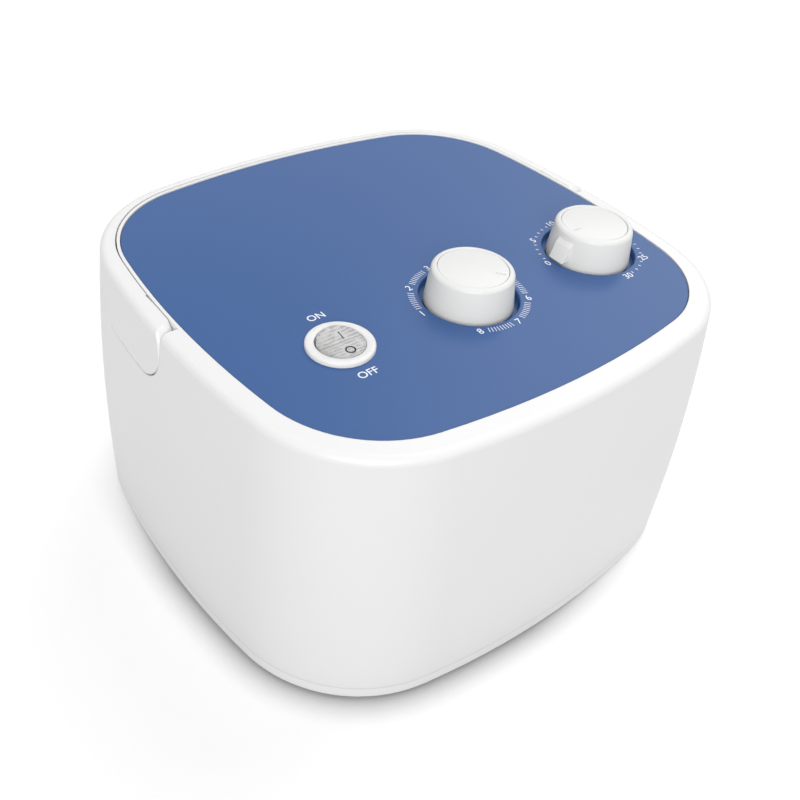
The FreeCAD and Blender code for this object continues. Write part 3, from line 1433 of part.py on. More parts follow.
def make_valve():
    height = "connector_height"
    front = "manifold_front - valve_length"
    cup = rod("valve_cup", "valve_radius", ("valve_x", front, height), "valve_length", "Y")
    nipple = rod("valve_nipple", "nipple_radius", ("valve_x", "valve_inlet_y", height),
                 "valve_radius + nipple_reach")
    room = rod("valve_room", "valve_radius - valve_wall", ("valve_x", f"{front} + valve_face", height),
               "valve_length", "Y")
    shaft_hole = rod("valve_shaft_hole", "rotor_shaft_radius + running",
                     ("valve_x", f"{front} - 1", height),
                     "valve_length", "Y")
    port = rod("valve_port", "nipple_bore", ("valve_x", "valve_inlet_y", height),
               "valve_radius + nipple_reach + 1")
    node("valve_body", cut("valve_body", fuse("valve_blank", cup, nipple), room, shaft_hole, port))
    disc = rod("rotor_disc", "rotor_radius", ("valve_x", "manifold_front - rotor_gap - rotor_thickness",
                                              height),
               "rotor_thickness", "Y")
    shaft = rod("rotor_shaft", "rotor_shaft_radius", ("valve_x", f"{front} - rotor_shaft_tail", height),
                "valve_length + rotor_shaft_tail - rotor_gap - 1", "Y")
    slot = block("rotor_slot", span("valve_x + rotor_port_x", "rotor_port_width"),
                 ("manifold_front - rotor_gap - rotor_port_depth", "manifold_front"),
                 span(height, "rotor_port_height"))
    node("valve_rotor", cut("valve_rotor", fuse("rotor_blank", disc, shaft), slot))
    can = rod("motor_can", "motor_radius", ("valve_x", f"{front} - motor_length", height),
              "motor_length", "Y")
    socket = rod("motor_socket", "rotor_shaft_radius + running",
                 ("valve_x", f"{front} - rotor_shaft_tail - 0.5", height),
                 "rotor_shaft_tail + 1", "Y")
    node("valve_motor", cut("valve_motor", can, socket))
    saddle = block("cradle_block", span("valve_x", "cradle_width"),
                   (f"{front} - motor_length + 2", f"{front} - motor_length + 2 + cradle_wall"),
                   (FLOOR_TOP, "cradle_top"))
    hollow = rod("cradle_hollow", "motor_radius + running",
                 ("valve_x", f"{front} - motor_length", height),
                 "motor_length + 5", "Y")
    node("motor_cradle", cut("motor_cradle", saddle, hollow))


# ---------------------------------------------------------------------------------------
# Linear free-piston compressor
# ---------------------------------------------------------------------------------------

def make_compressor_frame():
    plate = block("pump_plate", span("pump_x", "plate_length"), span("pump_y", "plate_width"),
                  ("plate_bottom", PLATE_TOP))
    pieces = [plate]
    for i, side in enumerate((-1, 1)):
        x = span(f"pump_x + {side} * (bracket_gap + plate_thickness / 2)", "plate_thickness")
        pieces.append(block(f"pump_bracket_{i}", x, span("pump_y", "bracket_width"),
                            ("plate_bottom", "bracket_top")))
        y = span(f"pump_y + {side} * ({CORE_TIP} + core_slot + core_yoke / 2)", "core_yoke")
        pieces.append(block(f"core_rest_{i}", span("pump_x", "core_half"), y,
                            ("plate_bottom", "pump_height - core_height / 2")))
    hole = rod("bracket_holes", "bracket_hole", ("pump_x - plate_length / 2", "pump_y", "pump_height"),
               "plate_length", "X")
    screws = [rod(f"plate_hole_{i}", "screw_hole_radius", (x, y, "plate_bottom - 1"),
                  "plate_thickness + 2")
              for i, (x, y) in enumerate(mount_spots())]
    node("compressor_frame", cut("compressor_frame", fuse("frame_blank", *pieces), hole, *screws))


def make_magnet_drive():
    """Two E cores with their coils, one on each side of the armature."""
    cores, coils = [], []
    middle_z = span("pump_height", "core_height")
    for i, side in enumerate((-1, 1)):
        tip = f"(pump_y + {side} * {CORE_TIP})"
        root = f"({tip} + {side} * core_slot)"
        outer = f"({root} + {side} * core_yoke)"
        yoke_y = (root, outer) if side > 0 else (outer, root)
        leg_y = (tip, root) if side > 0 else (root, tip)
        yoke = block(f"core_yoke_{i}", span("pump_x", "2 * core_half"), yoke_y, middle_z)
        legs = [block(f"core_leg_{i}_{k}", span(f"pump_x + {k} * (core_half - core_leg / 2)",
                                                "core_leg"), leg_y, middle_z)
                for k in (-1, 1)]
        legs.append(block(f"core_leg_{i}_middle", span("pump_x", "2 * core_leg"), leg_y, middle_z))
        cores.append(fuse(f"core_{i}", yoke, *legs))
        ring_y = (f"{leg_y[0]} + coil_gap", f"{leg_y[1]} - coil_gap")
        winding = block(f"coil_winding_{i}", span("pump_x", "2 * coil_half"), ring_y,
                        span("pump_height", "coil_height"))
        window = block(f"coil_window_{i}", span("pump_x", "2 * core_leg + 2 * coil_gap"),
                       (f"{leg_y[0]} - 1", f"{leg_y[1]} + 1"),
                       span("pump_height", "core_height + 2 * coil_gap"))
        coils.append(cut(f"coil_{i}", winding, window))
    node("magnet_cores", group("magnet_cores", cores))
    node("magnet_coils", group("magnet_coils", coils))


def make_armature():
    """The bar that the magnets shake along X, with a stud and washers for each piston."""
    inner_face = f"({BRACKET_OUTER} + piston_setback)"
    outer_face = f"({inner_face} + piston_thickness)"
    bar = block("armature_bar", span("pump_x", "2 * armature_half"), span("pump_y", "armature_width"),
                span("pump_height", "armature_height"))
    stud_end = f"({outer_face} + washer_thickness)"
    stud = rod("armature_stud", "stud_radius", (f"pump_x - {stud_end}", "pump_y", "pump_height"),
               f"2 * {stud_end}", "X")
    starts = [f"pump_x + {inner_face} - washer_thickness", f"pump_x + {outer_face}",
              f"pump_x - {inner_face}", f"pump_x - {outer_face} - washer_thickness"]
    washers = [rod(f"washer_{i}", "washer_radius", (start, "pump_y", "pump_height"), "washer_thickness",
                   "X")
               for i, start in enumerate(starts)]
    node("armature", fuse("armature", bar, stud, *washers))
    magnets = []
    for i, side in enumerate((-1, 1)):
        face = f"pump_y + {side} * armature_width / 2"
        y = (face, f"{face} + magnet_thickness") if side > 0 else (f"{face} - magnet_thickness", face)
        for k in (-1, 1):
            magnets.append(block(f"magnet_{i}_{k}",
                                 span(f"pump_x + {k} * magnet_offset", "magnet_length"),
                                 y, span("pump_height", "magnet_height")))
    node("armature_magnets", group("armature_magnets", magnets))


def along_pump(side, near, length):
    """Where a piece starts along X that lies from near to near + length out from the pump's middle."""
    return f"pump_x + {near}" if side > 0 else f"pump_x - {near} - {length}"


def make_pump_ends():
    """The pistons, the cylinders that they run in and the collector pipe over both."""
    near = f"({BRACKET_OUTER} + piston_setback)"
    head_middle = f"({BRACKET_OUTER} + cylinder_length / 2)"
    pad_top = "(pump_height + cylinder_radius + pad_rise)"
    for name, side in (("left", -1), ("right", 1)):
        start = along_pump(side, near, "piston_thickness")
        disc = rod(f"piston_disc_{name}", f"{BORE} - running", (start, "pump_y", "pump_height"),
                   "piston_thickness", "X")
        eye = rod(f"piston_eye_{name}", "stud_radius + running",
                  (f"{start} - 1", "pump_y", "pump_height"),
                  "piston_thickness + 2", "X")
        node(f"piston_{name}", cut(f"piston_{name}", disc, eye))
        drum = rod(f"drum_{name}", "cylinder_radius",
                   (along_pump(side, BRACKET_OUTER, "cylinder_length"), "pump_y", "pump_height"),
                   "cylinder_length", "X")
        middle = f"pump_x + {side} * {head_middle}"
        pad = block(f"pad_{name}", span(middle, "pad_width"), span("pump_y", "pad_width"),
                    ("pump_height", pad_top))
        room = rod(f"chamber_{name}", BORE,
                   (along_pump(side, f"({BRACKET_OUTER} - 1)", "(chamber_depth + 1)"), "pump_y",
                    "pump_height"),
                   "chamber_depth + 1", "X")
        duct = rod(f"duct_{name}", "nipple_bore", (middle, "pump_y", "pump_height + 6"),
                   "cylinder_radius")
        node(f"cylinder_{name}", cut(f"cylinder_{name}", fuse(f"cylinder_blank_{name}", drum, pad), room,
                                     duct))
    pipe_start = f"min(pump_x - {head_middle} - collector_overhang; {supply_x()} - supply_overhang)"
    pipe_end = f"max(pump_x + {head_middle} + collector_overhang; {supply_x()} + supply_overhang)"
    pipe = rod("collector_run", "collector_radius", (pipe_start, "pump_y", "collector_height"),
               f"{pipe_end} - {pipe_start}", "X")
    legs = [rod(f"collector_leg_{i}", "collector_radius",
                (f"pump_x + {side} * {head_middle}", "pump_y", pad_top),
                f"collector_height - {pad_top}")
            for i, side in enumerate((-1, 1))]
    nipple = rod("collector_nipple", "nipple_radius", (supply_x(), "pump_y", "collector_height"),
                 "collector_nipple")
    node("collector_pipe", fuse("collector_pipe", pipe, *legs, nipple))


def supply_x():
    return "pressure_x - nipple_offset"


# ---------------------------------------------------------------------------------------
# Tubes inside the case: straight runs joined by tangent arcs
# ---------------------------------------------------------------------------------------

def route_wire(points):
    """Straight runs joined by arcs that are as large as the shorter run beside each allows."""
    edges = []
    here = points[0]
    for before, corner, after in zip(points, points[1:], points[2:]):
        run_in, run_out = (corner - before), (after - corner)
        bend = run_in.getAngle(run_out)
        back = 0.45 * min(run_in.Length, run_out.Length)
        start = corner - Vector(run_in).normalize() * back
        end = corner + Vector(run_out).normalize() * back
        inward = (Vector(run_out).normalize() - Vector(run_in).normalize()).normalize()
        radius = back / math.tan(bend / 2)
        middle = corner + inward * (radius / math.cos(bend / 2) - radius)
        edges.append(Part.LineSegment(here, start).toShape())
        edges.append(Part.Arc(start, middle, end).toShape())
        here = end
    edges.append(Part.LineSegment(here, points[-1]).toShape())
    return Part.Wire(edges)


def make_hose(name, points):
    """A hollow hose whose centre line follows the route through the points."""
    spots = [Vector(*(value(text) for text in point)) for point in points]
    wire = route_wire(spots)
    start = (spots[1] - spots[0]).normalize()
    inner_radius = value("nipple_radius + tube_slack")
    outer_radius = inner_radius + value("tube_wall")
    solids = []
    for radius in (outer_radius, inner_radius):
        section = Part.Wire(Part.makeCircle(radius, spots[0], start))
        solids.append(wire.makePipeShell([section], True, True))
    hose = doc.addObject("Part::Feature", name)
    hose.Shape = solids[0].cut(solids[1])
    node(name, hose)


def make_hoses():
    nipple_tip = "control_y + regulator_radius + nipple_reach"
    make_hose("supply_tube", [
        (supply_x(), "pump_y", "collector_height + collector_nipple - tube_lap"),
        (supply_x(), "pump_y", "nipple_height"),
        (supply_x(), f"{nipple_tip} - tube_lap", "nipple_height"),
    ])
    far_x = "pressure_x + nipple_offset"
    make_hose("delivery_tube", [
        (far_x, f"{nipple_tip} - tube_lap", "nipple_height"),
        (far_x, "tube_turn_y", "nipple_height"),
        ("valve_x", "valve_inlet_y", "nipple_height - tube_fall"),
        ("valve_x", "valve_inlet_y", "connector_height + valve_radius + nipple_reach - tube_lap"),
    ])


# ---------------------------------------------------------------------------------------
# Build, check and write
# ---------------------------------------------------------------------------------------

def build():
    case_outer = make_case_outer()
    make_housing(case_outer)
    make_handle(case_outer)
    make_handle_pins()
    make_base_cover()
    make_control_panel()
    make_rear_panel()
    make_fasteners()
    make_feet()
    make_vibration_mounts()
    make_base_fittings()
    make_knob("pressure_knob", "pressure_x", "pressure_mark_angle")
    make_knob("timer_knob", "timer_x", "timer_mark_angle", pointer_block())
    make_timer()
    make_regulator()
    make_bushing_nuts()
    make_switch()
    make_mains_inlet()
    make_fuse()
    make_outlet("air_outlet_left", "outlet_left_x")
    make_outlet("air_outlet_right", "outlet_right_x")
    make_outlet_tubes()
    make_manifold()
    make_valve()
    make_compressor_frame()
    make_magnet_drive()
    make_armature()
    make_pump_ends()
    make_hoses()
    doc.recompute()


def check():
    """Stop before anything is written if an object failed or a sub-part isn't a sound solid."""
    failed = [thing.Name for thing in doc.Objects if "Invalid" in thing.State or "Error" in thing.State]
    for label, thing in NODES.items():
        if thing.Shape.isNull() or not thing.Shape.isValid() or thing.Shape.Volume <= 0:
            failed.append(label)
    if failed:
        raise RuntimeError("these objects failed: " + ", ".join(failed))


def write():
    os.makedirs("parts", exist_ok=True)
    for label, thing in NODES.items():
        thing.Shape.exportStep(f"parts/{label}.step")
        print(f"{label}: {len(thing.Shape.Solids)} solid(s), {thing.Shape.Volume:.0f} mm3")


build()
check()
write()
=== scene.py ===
"""Compression therapy pump: finishes, controls, dial printing, camera and light.

Metres, +Z up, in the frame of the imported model. The front wall faces -Y and the pump stands on Z 0.
"""
import json
import math

import bmesh
import bpy
from mathutils import Matrix, Vector


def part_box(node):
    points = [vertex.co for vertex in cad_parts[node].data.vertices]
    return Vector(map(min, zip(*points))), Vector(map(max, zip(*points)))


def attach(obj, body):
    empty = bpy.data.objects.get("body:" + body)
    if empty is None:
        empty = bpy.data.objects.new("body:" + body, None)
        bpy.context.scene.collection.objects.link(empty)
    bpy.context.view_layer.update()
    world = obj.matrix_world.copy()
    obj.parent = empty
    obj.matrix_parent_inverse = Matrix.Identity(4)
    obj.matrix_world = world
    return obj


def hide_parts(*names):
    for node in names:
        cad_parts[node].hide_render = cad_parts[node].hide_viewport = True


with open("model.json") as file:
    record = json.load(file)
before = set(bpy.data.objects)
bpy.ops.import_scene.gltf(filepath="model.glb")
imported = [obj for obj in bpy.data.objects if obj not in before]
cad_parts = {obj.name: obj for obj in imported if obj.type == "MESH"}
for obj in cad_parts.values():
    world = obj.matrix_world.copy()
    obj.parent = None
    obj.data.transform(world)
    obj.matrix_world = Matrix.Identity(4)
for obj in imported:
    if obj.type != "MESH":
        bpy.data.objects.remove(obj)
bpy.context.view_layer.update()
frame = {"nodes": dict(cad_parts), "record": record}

# ---------------------------------------------------------------------------------------
# Sizes and places, in metres
# ---------------------------------------------------------------------------------------

MM = 0.001
CASE = "pump_case"
PANEL_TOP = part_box("control_panel")[1].z

# how near counts as the same place, how near two points are merged, on turned shapes and in
# lettering, and how little a wall's normal rises
SLACK = 0.02 * MM
MERGE = 0.001 * MM
LETTER_MERGE = 0.0001 * MM
STEEP = 0.5


def over_panel(node):
    """The point of the panel's surface under the middle of a control."""
    low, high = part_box(node)
    spot = (low + high) / 2
    return Vector((spot.x, spot.y, PANEL_TOP))


PRESSURE_SPOT = over_panel("pressure_knob_cap")
TIMER_SPOT = over_panel("timer_knob_cap")
SWITCH_SPOT = over_panel("switch_frame")

# the seam of the housing and its base, drawn as a fine line of painted shade: it is darkest within the
# core
SEAM_HEIGHT = 6.4 * MM
SEAM_CORE = 0.1 * MM
SEAM_BREADTH = 0.32 * MM
SEAM_PAINTED_SHADE = 0.84

# edges that turn by more than these degrees are left crisp
CREASE = 32.0
ROCKER_CREASE = 40.0

# straight stretches round a turned shape
TURN_STEPS = 128
ROCKER_STEPS = 96
CIRCLE_STEPS = 64

# knobs, above the panel's surface
KNOB_FOOT = -2.5 * MM
KNOB_HEIGHT = 11.6 * MM
KNOB_BASE_RADIUS = 16.3 * MM
KNOB_TOP_RADIUS = 14.7 * MM
KNOB_WALL = 1.9 * MM
KNOB_ROOF = 3.6 * MM
KNOB_ROUND = 1.5 * MM
KNOB_FOOT_ROUND = 0.3 * MM
KNOB_SEAT_ROUND = 0.15 * MM
CAP_RADIUS = 12.6 * MM
CAP_GROOVE = 0.16 * MM
CAP_THICKNESS = 1.6 * MM
CAP_SINK = 0.12 * MM
CAP_ROUND = 0.35 * MM
MARK_START = 7.8 * MM
MARK_LENGTH = 3.6 * MM
MARK_WIDTH = 0.7 * MM
MARK_DEPTH = 0.35 * MM
MARK_ROUND = MARK_WIDTH * 0.48
PRESSURE_SET = math.radians(-52.6)
TIMER_SET = math.radians(180.0)

# the timer knob's pointer; its facet runs at 45 degrees through a radius and a height
POINTER_ROOT = 1.8 * MM
POINTER_WIDTH = 7.0 * MM
POINTER_REACH = 18.6 * MM
POINTER_BOTTOM = 0.7 * MM
POINTER_TOP = 8.4 * MM
POINTER_LEAN = 2.73 * MM
POINTER_FACET = (16.4 * MM, 6.9 * MM)
POINTER_ROUND = 0.3 * MM

# the round switch's ring, which falls a little from its rim to its opening
RING_RADIUS = 11.7 * MM
RING_HEIGHT = 1.7 * MM
RING_OPENING = 8.5 * MM
RING_DISH = 0.25 * MM
RING_DISH_WIDTH = 1.2 * MM
RING_RIM_ROUND = 0.9 * MM
RING_MOUTH_ROUND = 0.35 * MM
RING_BARREL = 10.0 * MM
RING_DEPTH = 15.0 * MM
RING_FLOOR = 2.0 * MM

# its rocker; the face rises from the middle to the front and the back as a power of the distance
ROCKER_RADIUS = 7.95 * MM
ROCKER_BREADTH = 8.35 * MM
ROCKER_TILT = math.radians(6.0)
ROCKER_DROP = 2.0 * MM
ROCKER_MIDDLE = 3.4 * MM
ROCKER_WING = 0.7 * MM
ROCKER_POWER = 1.5
ROCKER_CUTS = 6
ROCKER_SHOULDER = 0.5 * MM
ROCKER_BOTTOM = -5.0 * MM
LENS_EDGE = 7.9 * MM
LENS_RIM = 0.9 * MM

# the marks let into the rocker, and their places on its face
INLAY_THICKNESS = 0.12 * MM
LINE_SIZE = (0.34 * MM, 3.5 * MM)
LINE_ROUND = 0.16 * MM
LINE_PLACE = (2.0 * MM, 3.1 * MM)
CIRCLE_RADII = (1.3 * MM, 1.8 * MM)
CIRCLE_PLACE = (0.7 * MM, -4.3 * MM)

# printing; a capital's height is a share of the lettering's size
INK_THICKNESS = 0.03 * MM
CAPITAL_SHARE = 0.72
DIGIT_HEIGHT = 3.0 * MM
DIGIT_BOLD = 0.02 * MM
WORD_HEIGHT = 3.15 * MM
WORD_BOLD = 0.04 * MM
ON_SPOT = Vector((-52.1 * MM, -14.75 * MM, PANEL_TOP))
OFF_SPOT = Vector((-55.2 * MM, -48.1 * MM, PANEL_TOP))

# dials: the numbers, the degrees of the first and from each to the next, the shares of that way
# at which strokes stand, and a stroke's inner radius, outer radius and width
DIAL_RADIUS = 21.4 * MM
PRESSURE_DIAL = ([str(number) for number in range(1, 9)], 180.0, -43.0,
                 [0.2 + 0.6 * stroke / 8 for stroke in range(9)], (19.6 * MM, 22.0 * MM, 0.26 * MM))
TIMER_DIAL = ([str(minute) for minute in range(0, 31, 5)], 178.0, -45.0,
              [minute / 5 for minute in range(1, 5)], (20.1 * MM, 21.2 * MM, 0.36 * MM))

# light: the level of each lamp, then its spread, azimuth and elevation in degrees
SKY_LEVEL = 0.465
KEY_LAMP = (0.59, 45.0, -130.0, 30.0)
BACK_LAMP = (0.335, 44.0, 21.0, 48.0)

# floor: its size, what its neighbours catch from it, and how it shows
FLOOR_REACH = 4.0
FLOOR_SQUARES = 8
FLOOR_BOUNCE = (0.35, 0.35, 0.35)
FLOOR_SHOWN = (0.66, 0.66, 0.66)
FLOOR_GLOW = 0.42

# the painted contact shadow where the pump stands on the floor: its reach, how dark the floor's
# colour gets there, and from which to which openness the glow and the colour of the floor come
# back. It fades from the front left to the least strength, by the sum of X and Y.
CONTACT_REACH = 12 * MM
PAINTED_CONTACT_DEPTH = 0.78
CONTACT_GLOW = (0.5, 1.0)
CONTACT_COLOUR = (0.5, 0.8)
CONTACT_FULL = -0.11
CONTACT_FADED = -0.035
CONTACT_LEAST = 0.1

# camera: its lens and sensor in millimetres, its nearest sight, its place and its own axes
CAMERA_LENS = 43.0
CAMERA_SENSOR = 36.0
CAMERA_NEAREST = 0.01
CAMERA_SPOT = (-0.2058, -0.2279, 0.2980)
CAMERA_AXES = ((0.7812, -0.6181, 0.0879), (0.3471, 0.5470, 0.7618), (-0.5190, -0.5646, 0.6418))


# ---------------------------------------------------------------------------------------
# Shader nodes
# ---------------------------------------------------------------------------------------

def put(tree, socket, value):
    """Link an input to a socket, or set it to a plain value; a colour is three numbers."""
    if isinstance(value, bpy.types.NodeSocket):
        tree.links.new(value, socket)
    elif socket.type == "RGBA":
        socket.default_value = (*value, 1.0)
    else:
        socket.default_value = value


def feed(tree, node, **inputs):
    """Link or set a node's inputs by name, with _ for a space."""
    for name, value in inputs.items():
        label = name.replace("_", " ")
        put(tree, next(s for s in node.inputs if s.name == label and s.enabled), value)
    return node


def add(tree, kind, settings=None, **inputs):
    """A shader node with its settings, and its inputs either linked or set."""
    made = tree.nodes.new(f"ShaderNode{kind}")
    for name, value in (settings or {}).items():
        setattr(made, name, value)
    return feed(tree, made, **inputs)


def object_place(tree):
    """The place of a point in the piece's own coordinates."""
    return add(tree, "TexCoord").outputs["Object"]


def maths(tree, operation, first, second=0.0):
    """One sum; the two values are sockets or numbers."""
    made = add(tree, "Math", {"operation": operation})
    put(tree, made.inputs[0], first)
    put(tree, made.inputs[1], second)
    return made.outputs[0]


def stretch(tree, value, span, to=(0.0, 1.0)):
    """A value moved from one span to another and held within it."""
    return add(tree, "MapRange", Value=value, From_Min=span[0], From_Max=span[1],
               To_Min=to[0], To_Max=to[1]).outputs["Result"]


def mixed(tree, share, first, second, blend="MIX"):
    """Two colours mixed by a share of the second; each is a socket or three numbers."""
    made = add(tree, "Mix", {"data_type": "RGBA", "blend_type": blend})
    for number, value in ((0, share), (6, first), (7, second)):
        put(tree, made.inputs[number], value)
    return made.outputs[2]


def shaded(tree, colour, shade):
    """A colour made slightly lighter or darker from place to place."""
    return mixed(tree, 1.0, colour, shade, "MULTIPLY")


# ---------------------------------------------------------------------------------------
# Shader node groups: an effect that several finishes share
# ---------------------------------------------------------------------------------------

# most of a noise's values lie between these
NOISE_SPAN = (0.3, 0.7)


def new_group(name, inputs, outputs):
    """A node group with its own input and output nodes; an input is (name, default)."""
    group = bpy.data.node_groups.new(name, "ShaderNodeTree")
    for label, start in inputs:
        socket = group.interface.new_socket(label, in_out="INPUT", socket_type="NodeSocketFloat")
        socket.default_value = start
    for kind, label in outputs:
        group.interface.new_socket(label, in_out="OUTPUT", socket_type=f"NodeSocket{kind}")
    return group, group.nodes.new("NodeGroupInput"), group.nodes.new("NodeGroupOutput")


def place_group(tree, group, **values):
    """A shared effect placed in a material with its own values."""
    made = tree.nodes.new("ShaderNodeGroup")
    made.node_tree = group
    return feed(tree, made, **values)


def about_middle(tree, noise, strength):
    """A noise moved to either side of zero and given a strength."""
    centred = maths(tree, "SUBTRACT", noise.outputs["Fac"], 0.5)
    return maths(tree, "MULTIPLY", centred, strength)


def make_grain_group():
    """Spark-eroded mould texture: a fine bump and a faint drift of shade; sizes in millimetres."""
    group, source, result = new_group("moulded_grain", [("Grain Size", 0.3), ("Drift", 0.02)],
                                      [("Float", "Height"), ("Float", "Shade")])
    place = object_place(group)
    fineness = maths(group, "DIVIDE", 1 / MM, source.outputs["Grain Size"])
    fine = add(group, "TexNoise", Vector=place, Scale=fineness, Detail=3.0, Roughness=0.6)
    cloud = add(group, "TexNoise", Vector=place, Scale=22.0, Detail=2.0, Roughness=0.5)
    shade = maths(group, "ADD", 1.0, about_middle(group, cloud, source.outputs["Drift"]))
    feed(group, result, Height=fine.outputs["Fac"], Shade=shade)
    return group


def make_edge_group():
    """Moulded edges are never sharp: the normal turns smoothly over a small radius."""
    group, source, result = new_group("softened_edges", [("Radius", 0.0003)], [("Vector", "Normal")])
    soft = add(group, "Bevel", {"samples": 6}, Radius=source.outputs["Radius"])
    feed(group, result, Normal=soft.outputs["Normal"])
    return group


def make_brush_group():
    """Turned or brushed metal: long fine scratches along X and a patchy polish."""
    group, source, result = new_group("brushed_grain", [("Fineness", 900.0), ("Patchiness", 0.1)],
                                      [("Float", "Height"), ("Float", "Polish")])
    place = object_place(group)
    drawn = add(group, "Mapping", Vector=place, Scale=(0.03, 1.0, 1.0))
    lines = add(group, "TexNoise", Vector=drawn.outputs["Vector"], Scale=source.outputs["Fineness"],
                Detail=4.0, Roughness=0.65)
    patches = add(group, "TexNoise", Vector=place, Scale=60.0, Detail=3.0, Roughness=0.6)
    polish = about_middle(group, patches, source.outputs["Patchiness"])
    feed(group, result, Height=lines.outputs["Fac"], Polish=polish)
    return group


GRAIN = make_grain_group()
EDGES = make_edge_group()
BRUSH = make_brush_group()


# ---------------------------------------------------------------------------------------
# Finishes: colours, and grain and edge sizes in millimetres
# ---------------------------------------------------------------------------------------

# how much the roughness drifts: as a whole width on plastic, as two factors on clear pieces
PLASTIC_RIPPLE = 0.06
CLEAR_RIPPLE = (0.8, 1.2)
ACRYLIC_IOR = 1.49

# shade of the gaps between wires, and of the lines between iron sheets with their share of a sheet
WIRE_GAP_SHADE = 0.45
SHEET_LINE_SHADE = 0.45
SHEET_LINE_SHARE = 0.25

# foam: how far from a cell's edge its strut reaches, and the shade of the cells
STRUT_SPAN = (0.02, 0.2)
CELL_SHADE = 0.25

# the rocker's prisms: each row's direction, scale and bend, the patches where they are faint and
# strong, the shade from between them to on them, and the shade of the lens's rim
PRISM_ROWS = (("X", 420.0, 1.2), ("Y", 230.0, 1.6))
PATCH_SPAN = (0.4, 0.6)
PATCH_STRENGTH = (0.1, 1.2)
PRISM_SPAN = (0.0, 0.5)
PRISM_SHADE = (1.02, 0.56)
RIM_SHADE = 0.8


def blank_finish(name):
    """A material with nothing but its Principled shader; returns the material, tree and shader."""
    finish = bpy.data.materials.new(name)
    finish.use_nodes = True
    tree = finish.node_tree
    return finish, tree, tree.nodes["Principled BSDF"]


def relief(tree, shader, height, depth, soft_radius):
    """Bump over softened edges, into the shader's normal."""
    soft = place_group(tree, EDGES, Radius=soft_radius * MM)
    bump = add(tree, "Bump", Height=height, Distance=depth * MM, Strength=1.0,
               Normal=soft.outputs["Normal"])
    feed(tree, shader, Normal=bump.outputs["Normal"])


def seam_shade(tree, height):
    """Darker in a fine line at one height: painted shade along a seam."""
    split = add(tree, "SeparateXYZ", Vector=object_place(tree))
    away = maths(tree, "ABSOLUTE", maths(tree, "SUBTRACT", split.outputs["Z"], height))
    return stretch(tree, away, (SEAM_CORE, SEAM_BREADTH), (SEAM_PAINTED_SHADE, 1.0))


def plastic(name, colour, roughness, grain_size=0.35, grain_depth=0.01, drift=0.03, soft_radius=0.3,
            gloss=0.5, bounce=None, seam=None):
    """A moulded plastic, a rubber or an ink.

    A bounce colour is what its neighbours catch from it, in place of its own colour. A seam is
    the height of a parting line, which is drawn as a fine line of painted shade.
    """
    finish, tree, shader = blank_finish(name)
    grain = place_group(tree, GRAIN, Grain_Size=grain_size, Drift=drift)
    shade = grain.outputs["Shade"]
    # the parting line is darkened with painted shade
    if seam:
        shade = maths(tree, "MULTIPLY", shade, seam_shade(tree, seam))
    shown = shaded(tree, colour, shade)
    if bounce:
        shown = mixed(tree, add(tree, "LightPath").outputs["Is Diffuse Ray"], shown, bounce)
    rough = stretch(tree, grain.outputs["Height"], NOISE_SPAN,
                    (roughness - PLASTIC_RIPPLE / 2, roughness + PLASTIC_RIPPLE / 2))
    feed(tree, shader, Base_Color=shown, Specular_IOR_Level=gloss, Roughness=rough)
    relief(tree, shader, grain.outputs["Height"], grain_depth, soft_radius)
    return finish


def metal(name, colour, roughness, fineness=900.0, depth=0.004, patchiness=0.15):
    """A machined, drawn or plated metal."""
    finish, tree, shader = blank_finish(name)
    brush = place_group(tree, BRUSH, Fineness=fineness, Patchiness=patchiness)
    rough = maths(tree, "ADD", brush.outputs["Polish"], roughness)
    feed(tree, shader, Base_Color=colour, Metallic=1.0, Roughness=rough)
    relief(tree, shader, brush.outputs["Height"], depth, soft_radius=0.15)
    return finish


def clear(name, colour, roughness, ior=ACRYLIC_IOR):
    """A clear moulded plastic or glass."""
    finish, tree, shader = blank_finish(name)
    grain = place_group(tree, GRAIN, Grain_Size=0.8, Drift=0.02)
    rough = stretch(tree, grain.outputs["Height"], NOISE_SPAN,
                    (roughness * CLEAR_RIPPLE[0], roughness * CLEAR_RIPPLE[1]))
    feed(tree, shader, Base_Color=shaded(tree, colour, grain.outputs["Shade"]),
         Transmission_Weight=1.0, IOR=ior, Roughness=rough)
    relief(tree, shader, grain.outputs["Height"], depth=0.003, soft_radius=0.1)
    return finish


def wound_wire(name, colour):
    """Enamelled wire laid side by side round the coil, darker between its turns."""
    finish, tree, shader = blank_finish(name)
    turns = add(tree, "TexWave", {"bands_direction": "Y", "wave_profile": "SIN"},
                Vector=object_place(tree), Scale=500.0, Distortion=0.4, Detail=1.0)
    dark = tuple(part * WIRE_GAP_SHADE for part in colour)
    feed(tree, shader, Base_Color=mixed(tree, turns.outputs["Fac"], dark, colour), Metallic=1.0,
         Roughness=0.32)
    relief(tree, shader, turns.outputs["Fac"], depth=0.08, soft_radius=0.2)
    return finish


def laminated(name, colour):
    """Stacked iron sheets with a fine line between each."""
    finish, tree, shader = blank_finish(name)
    sheets = add(tree, "TexWave", {"bands_direction": "Z", "wave_profile": "SAW"},
                 Vector=object_place(tree), Scale=320.0, Distortion=0.1)
    shade = stretch(tree, sheets.outputs["Fac"], (0.0, SHEET_LINE_SHARE), (SHEET_LINE_SHADE, 1.0))
    feed(tree, shader, Base_Color=shaded(tree, colour, shade), Metallic=1.0, Roughness=0.48)
    relief(tree, shader, sheets.outputs["Fac"], depth=0.03, soft_radius=0.15)
    return finish


def open_foam(name, colour):
    """Reticulated foam: a net of struts round dark cells."""
    finish, tree, shader = blank_finish(name)
    cells = add(tree, "TexVoronoi", {"feature": "DISTANCE_TO_EDGE"}, Vector=object_place(tree),
                Scale=900.0)
    strut = stretch(tree, cells.outputs["Distance"], STRUT_SPAN, (1.0, CELL_SHADE))
    feed(tree, shader, Base_Color=shaded(tree, colour, strut), Roughness=0.9)
    relief(tree, shader, strut, depth=0.3, soft_radius=0.3)
    return finish


